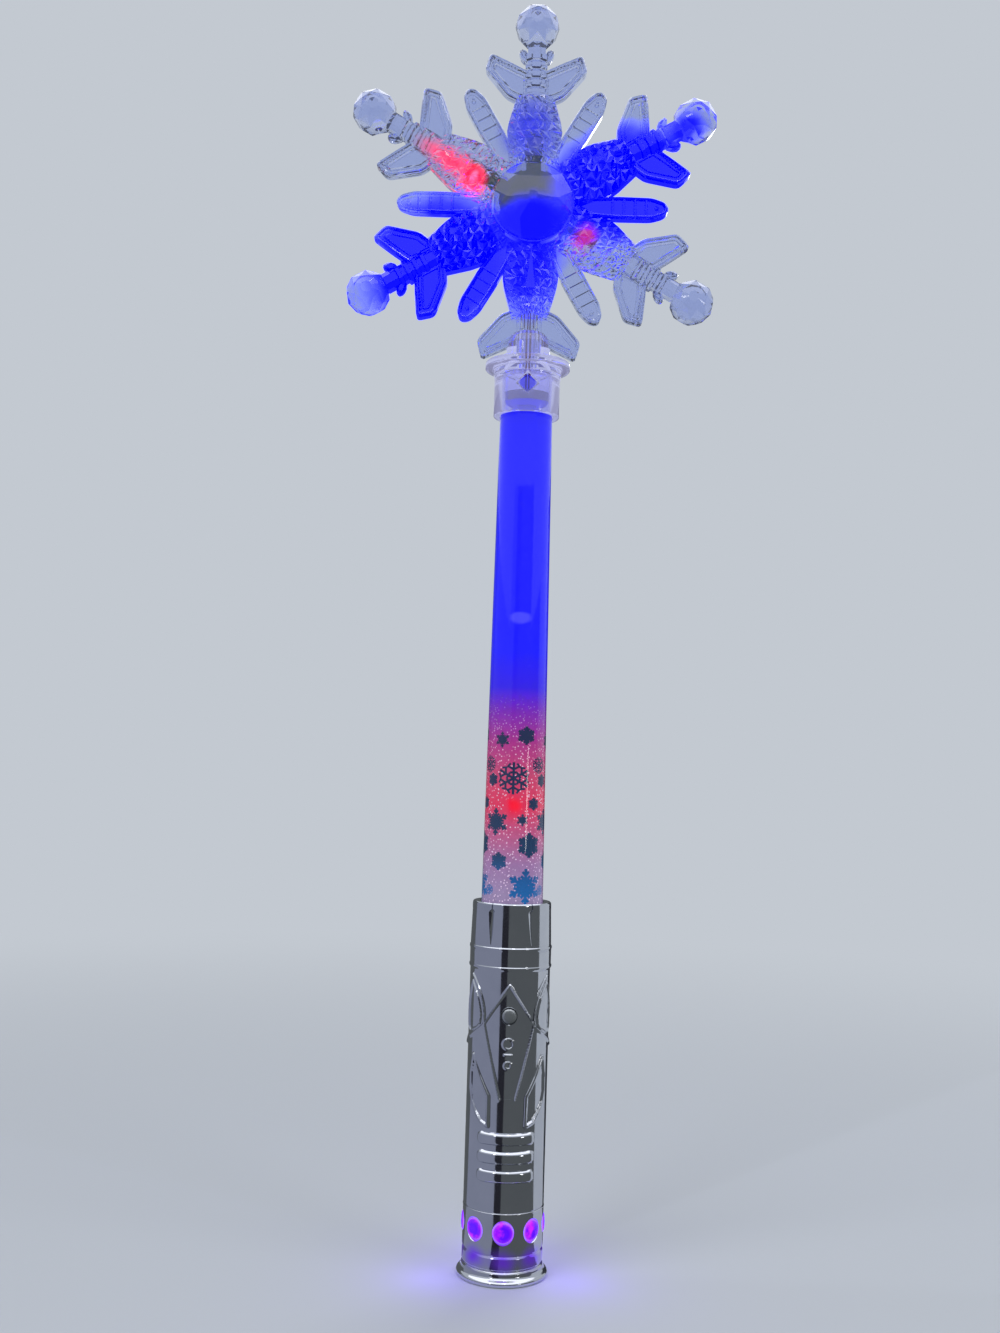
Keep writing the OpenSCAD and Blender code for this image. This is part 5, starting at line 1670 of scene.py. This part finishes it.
    def half(self, name: str, front: bool) -> bpy.types.Object:
        """Joins all parts of one half and cuts the lamp board's pocket and the wire's channel out of it.

        The back half is the front one mirrored.

        Args:
            name: Name of the piece.
            front: True for the half that faces -Y.

        Returns:
            The half's object.
        """
        rng = np.random.default_rng(self.seed)
        stem = (self.stem_arm,)
        tips = [angle for angle in self.arms if angle != self.stem_arm]
        between = [angle + self.half_step for angle in self.arms]
        ball = self.crystal(self.ball, self.ball_facets, (REACH, 0.0, 0.0))
        stubs = self.repeated(self.stub(self.stub_to, self.ladder), tips)
        spikes = self.plate(self.spike, self.spike_layers, self.spike_round)
        y_to_x = np.array([[0.0, 1.0, 0.0], [-1.0, 0.0, 0.0], [0.0, 0.0, 1.0]])
        core = [self.at(loft(spun(self.hub, self.hub_segments)), 0.0), *self.repeated(ball, tips)]
        added = [
            [self.at(self.crystal_bed(rng), angle) for angle in self.arms[::2]],
            [self.at(self.crystal_bed(rng), angle) for angle in self.arms[1::2]],
            stubs + self.repeated(self.stub(self.stem_stub_to, ()), stem),
            self.repeated(self.leaves(), self.arms),
            self.repeated(spikes, between),
            self.repeated(self.trims(), tips),
            self.repeated(self.rungs(), between),
            self.repeated(brick(*self.stem), stem),
            self.repeated(self.stem_spine(), stem),
        ]
        removed = [
            [self.at(loft(spun(self.pocket, self.pocket_segments)), 0.0)],
            self.repeated(brick(*self.finger), self.arms),
            self.repeated(along_y(self.channel, 0.0, 0.0).placed(y_to_x), stem),
        ]
        piece = self.turned(core, front).to_object(name)
        for parts in added:
            combine(piece, self.turned(parts, front), Cut.ADD)
        for parts in removed:
            combine(piece, self.turned(parts, front), Cut.REMOVE)
        return piece

    def turned(self, parts: list[Solid], front: bool) -> Solid:
        """Returns the parts joined, as they are for the front half and mirrored for the back half."""
        joined = Solid.joined(parts)
        return joined if front else joined.mirrored()

    def build(self) -> None:
        """Builds and dresses both halves."""
        for name, front in (("snowflake_front", True), ("snowflake_back", False)):
            piece = self.half(name + "_clear", front)
            show(piece, Body.WAND, SNOW_STYRENE, Slot.SNOW, self.crease, name)


@dataclass
class Works:
    """Pieces that keep their CAD shape: lamps, boards, cells, wires, screws and the hub's gems."""

    finishes: dict[str, Finish] = field(default_factory=lambda: {
        "door_screw": ZINC, "shell_screws": ZINC, "base_board": LAMINATE, "base_lamps": BASE_LAMP,
        "base_leads": ENAMEL, "battery_tray": GREY_ABS, "battery_cells": CELL_SLEEVE,
        "battery_springs": NICKEL, "battery_contacts": NICKEL, "battery_leads": RED_VINYL,
        "main_board": LAMINATE, "control_chip": BLACK_EPOXY, "key_switch": BLACK_EPOXY,
        "switch_plunger": PLUNGER, "strip_holder": WHITE_ABS, "strip_leads": RED_VINYL,
        "lamp_strip": WHITE_LAMINATE, "strip_lamps": TUBE_LAMP, "strip_guide": WHITE_ABS,
        "head_leads": RED_VINYL, "head_board": LAMINATE, "head_lamps": HEAD_LAMP,
        "hub_gem_front": GEM_STYRENE, "hub_gem_back": GEM_STYRENE,
    })

    def build(self) -> None:
        """Gives each CAD node that stays its finish."""
        for name, finish in self.finishes.items():
            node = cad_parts[name]
            if not node.material_slots:
                node.data.materials.append(None)
            for slot in node.material_slots:
                slot.material = finish.material()
            LOG.info("%s: keeps its solid, dressed as %s", name, finish.title)


@dataclass
class Studio:
    """Pale floor and surroundings, lamps, glossy-only cards for the chrome, and the camera.

    Lamps have a place in metres, a size in metres and a power in watts. Cards have their span in degrees from
    the camera's direction, to the right, and sweeps are distance from the wand's axis and height. The floor
    fades between two distances in metres. The camera's pitch is in degrees and its roll in radians.
    """

    pale: str = "#C3C9D1"
    soft_light: Colour = (0.5, 0.51, 0.53, 1.0)
    eye: Place = (-6.29, -463.0, 163.6)
    pitch: float = 3.92
    roll: float = 0.0301
    lens: float = 37.81
    sensor: float = 36.0
    near_clip: float = 0.01
    floor_rings: Pairs = ((0.1, 0.0), (400.0, 0.0), (1500.0, 0.0), (4000.0, 0.0))
    floor_segments: int = 64
    floor_fade: Pair = (0.12, 0.9)
    floor_gloss: Pair = (0.75, 0.15)
    lamps: tuple[tuple[str, LampKind, Place, float, float], ...] = (
        ("key", LampKind.SOFT, (-0.7, -0.7, 0.9), 0.7, 5.0),
        ("fill", LampKind.SOFT, (0.8, -0.5, 0.5), 0.6, 2.2),
        ("back", LampKind.SOFT, (0.3, 0.8, 0.9), 0.7, 3.0),
        ("glint_left", LampKind.GLINT, (-0.45, -0.75, 0.62), 0.1, 0.16),
        ("glint_right", LampKind.GLINT, (0.62, -0.6, 0.3), 0.1, 0.16),
        ("glint_top", LampKind.GLINT, (0.1, -0.5, 0.95), 0.1, 0.16),
        ("glint_rear", LampKind.GLINT, (0.3, 0.8, 0.6), 0.1, 0.16),
        ("spill_left", LampKind.SPILL, (-0.021, -0.008, 0.016), 0.004, 0.007),
        ("spill_right", LampKind.SPILL, (0.021, -0.008, 0.016), 0.004, 0.007),
        ("spill_back", LampKind.SPILL, (0.0, 0.022, 0.016), 0.004, 0.007),
    )
    spill_colour: str = "#6A20FF"
    cards: tuple[tuple[str, Pair, str], ...] = (
        ("dark_card", (-26.0, -8.0), "#2C2C33"), ("grey_card", (-8.0, 88.0), "#5E6264"),
        ("back_card", (140.0, 166.0), "#3C3E44"), ("left_card", (166.0, 236.0), "#5E6264"),
        ("shade_card", (-124.0, -26.0), "#8E93A6"),
    )
    card_columns: int = 48
    card_sweep: Pairs = ((19.0, 0.3), (300.0, 0.3), (900.0, 0.3), (900.0, 480.0))
    canopy_sweep: Pairs = ((900.0, 900.0), (350.0, 1250.0))
    canopy_colour: str = "#F4F6FF"
    canopy_strength: float = 1.7

    def floor(self) -> None:
        """Makes a wide disc whose diffuse grey passes into the surroundings' colour with distance."""
        rings = spun(self.floor_rings, self.floor_segments)
        # Turned round, the quads face up.
        quads = strip_quads(*rings.shape[:2], False)[:, ::-1]
        piece = Solid(rings.reshape(-1, 3), [quads]).to_object("floor")
        material = bpy.data.materials.new("matt_pale_board")
        material.use_nodes = True
        tree = material.node_tree
        shader = tree.nodes["Principled BSDF"]
        rough, specular = self.floor_gloss
        matt = {"Base Color": to_linear(self.pale), "Roughness": rough, "Specular IOR Level": specular}
        fill(tree, shader, matt)
        place = add_node(tree, "ShaderNodeTexCoord").outputs["Object"]
        far = add_node(tree, "ShaderNodeVectorMath", LENGTH, {0: place}).outputs[1]
        fade = {"Value": far, "From Min": self.floor_fade[0], "From Max": self.floor_fade[1]}
        share = add_node(tree, "ShaderNodeMapRange", SMOOTH, fade).outputs[0]
        plain = add_node(tree, "ShaderNodeEmission", inputs={0: to_linear(self.pale), 1: 1.0}).outputs[0]
        mixed = add_node(tree, "ShaderNodeMixShader", inputs={0: share, 1: shader.outputs[0], 2: plain})
        fill(tree, tree.nodes["Material Output"], {0: mixed.outputs[0]})
        piece.data.materials.append(material)

    def surroundings(self) -> None:
        """Makes the world: pale for camera, glossy and transmission rays, and soft light for the rest."""
        world = bpy.data.worlds.new("studio")
        bpy.context.scene.world = world
        world.use_nodes = True
        tree = world.node_tree
        path = add_node(tree, "ShaderNodeLightPath").outputs
        seen = path["Is Camera Ray"]
        for ray in ("Is Glossy Ray", "Is Transmission Ray"):
            either = {0: seen, 1: path[ray]}
            seen = add_node(tree, "ShaderNodeMath", {"operation": "MAXIMUM"}, either).outputs[0]
        mix = {SHARE: seen, FIRST: self.soft_light, SECOND: to_linear(self.pale)}
        colour = add_node(tree, "ShaderNodeMix", COLOURS, mix).outputs[MIXED]
        fill(tree, tree.nodes["Background"], {0: colour})

    def lamp(self, name: str, kind: LampKind, place: Place, size: float, power: float) -> None:
        """Adds a lamp: a square panel, or for the jewels' spill on the floor a small violet globe.

        Glints show only in reflections, as sparks on the cut facets. The other lamps show in none.

        Args:
            name: Name of the lamp.
            kind: What it is for.
            place: Its place in metres.
            size: Side of its panel, or radius of its globe, in metres.
            power: Power in watts.
        """
        data = bpy.data.lights.new(name, "POINT" if kind is LampKind.SPILL else "AREA")
        data.energy = power
        if kind is LampKind.SPILL:
            data.shadow_soft_size, data.color = size, to_linear(self.spill_colour)[:3]
        else:
            data.size = size
        lamp = bpy.data.objects.new(name, data)
        aim = Vector((0.0, 0.0, kind.value)) - Vector(place)
        lamp.matrix_world = Matrix.Translation(place) @ aim.to_track_quat("-Z", "Y").to_matrix().to_4x4()
        lamp.visible_transmission = False
        lamp.visible_diffuse = kind is not LampKind.GLINT
        lamp.visible_glossy = kind is LampKind.GLINT
        bpy.context.scene.collection.objects.link(lamp)

    def card(self, name: str, sweep: Pairs, span: Pair, colour: str, strength: float = 1.0) -> None:
        """Adds a card swept round the wand, seen only in reflections.

        Args:
            name: Name of the card.
            sweep: Distance from the wand's axis and height of each edge of the sweep.
            span: First and last degrees from the camera's direction, to the right.
            colour: Colour that it reflects.
            strength: Brightness of that colour.
        """
        angle = np.radians(np.linspace(*span, self.card_columns))
        reach, level = np.array(sweep).T[..., None]
        shape = (len(sweep), len(angle))
        points = np.stack([reach * np.sin(angle), -reach * np.cos(angle), np.broadcast_to(level, shape)], -1)
        quads = strip_quads(*shape, False)
        # A card ends where its span does, so the quads from its last column to its first are left out.
        quads = quads[quads[:, 1] % shape[1] != 0]
        piece = Solid(points.reshape(-1, 3), [quads]).to_object(name)
        material = bpy.data.materials.new(name)
        material.use_nodes = True
        tree = material.node_tree
        light = add_node(tree, "ShaderNodeEmission", inputs={0: to_linear(colour), 1: strength}).outputs[0]
        fill(tree, tree.nodes["Material Output"], {0: light})
        piece.data.materials.append(material)
        piece.visible_camera = piece.visible_diffuse = piece.visible_shadow = False
        piece.visible_transmission = piece.visible_volume_scatter = False

    def camera(self) -> None:
        """Places the camera: pitched up from the horizon, then rolled about its own axis."""
        data = bpy.data.cameras.new("camera")
        data.lens, data.sensor_width, data.clip_start = self.lens, self.sensor, self.near_clip
        eye = bpy.data.objects.new("camera", data)
        turn = Matrix.Rotation(math.radians(90.0 + self.pitch), 4, "X") @ Matrix.Rotation(self.roll, 4, "Z")
        eye.matrix_world = Matrix.Translation([c * MM for c in self.eye]) @ turn
        bpy.context.scene.collection.objects.link(eye)
        bpy.context.scene.camera = eye

    def build(self) -> None:
        """Builds the whole studio."""
        bpy.context.scene.view_settings.view_transform = "Standard"
        self.camera()
        self.floor()
        self.surroundings()
        for name, span, colour in self.cards:
            self.card(name, self.card_sweep, span, colour)
        self.card("canopy", self.canopy_sweep, (-180.0, 180.0), self.canopy_colour, self.canopy_strength)
        for lamp in self.lamps:
            self.lamp(*lamp)


def main() -> None:
    """Builds every sub-assembly in order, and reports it."""
    logging.basicConfig(level=logging.INFO, format="%(name)s: %(message)s")
    for part in (Studio(), Base(), Handle(), LitTube(), Neck(), Snowflake(), Works()):
        part.build()
        LOG.info("%s is done", type(part).__name__)


if __name__ == "__main__":
    main()
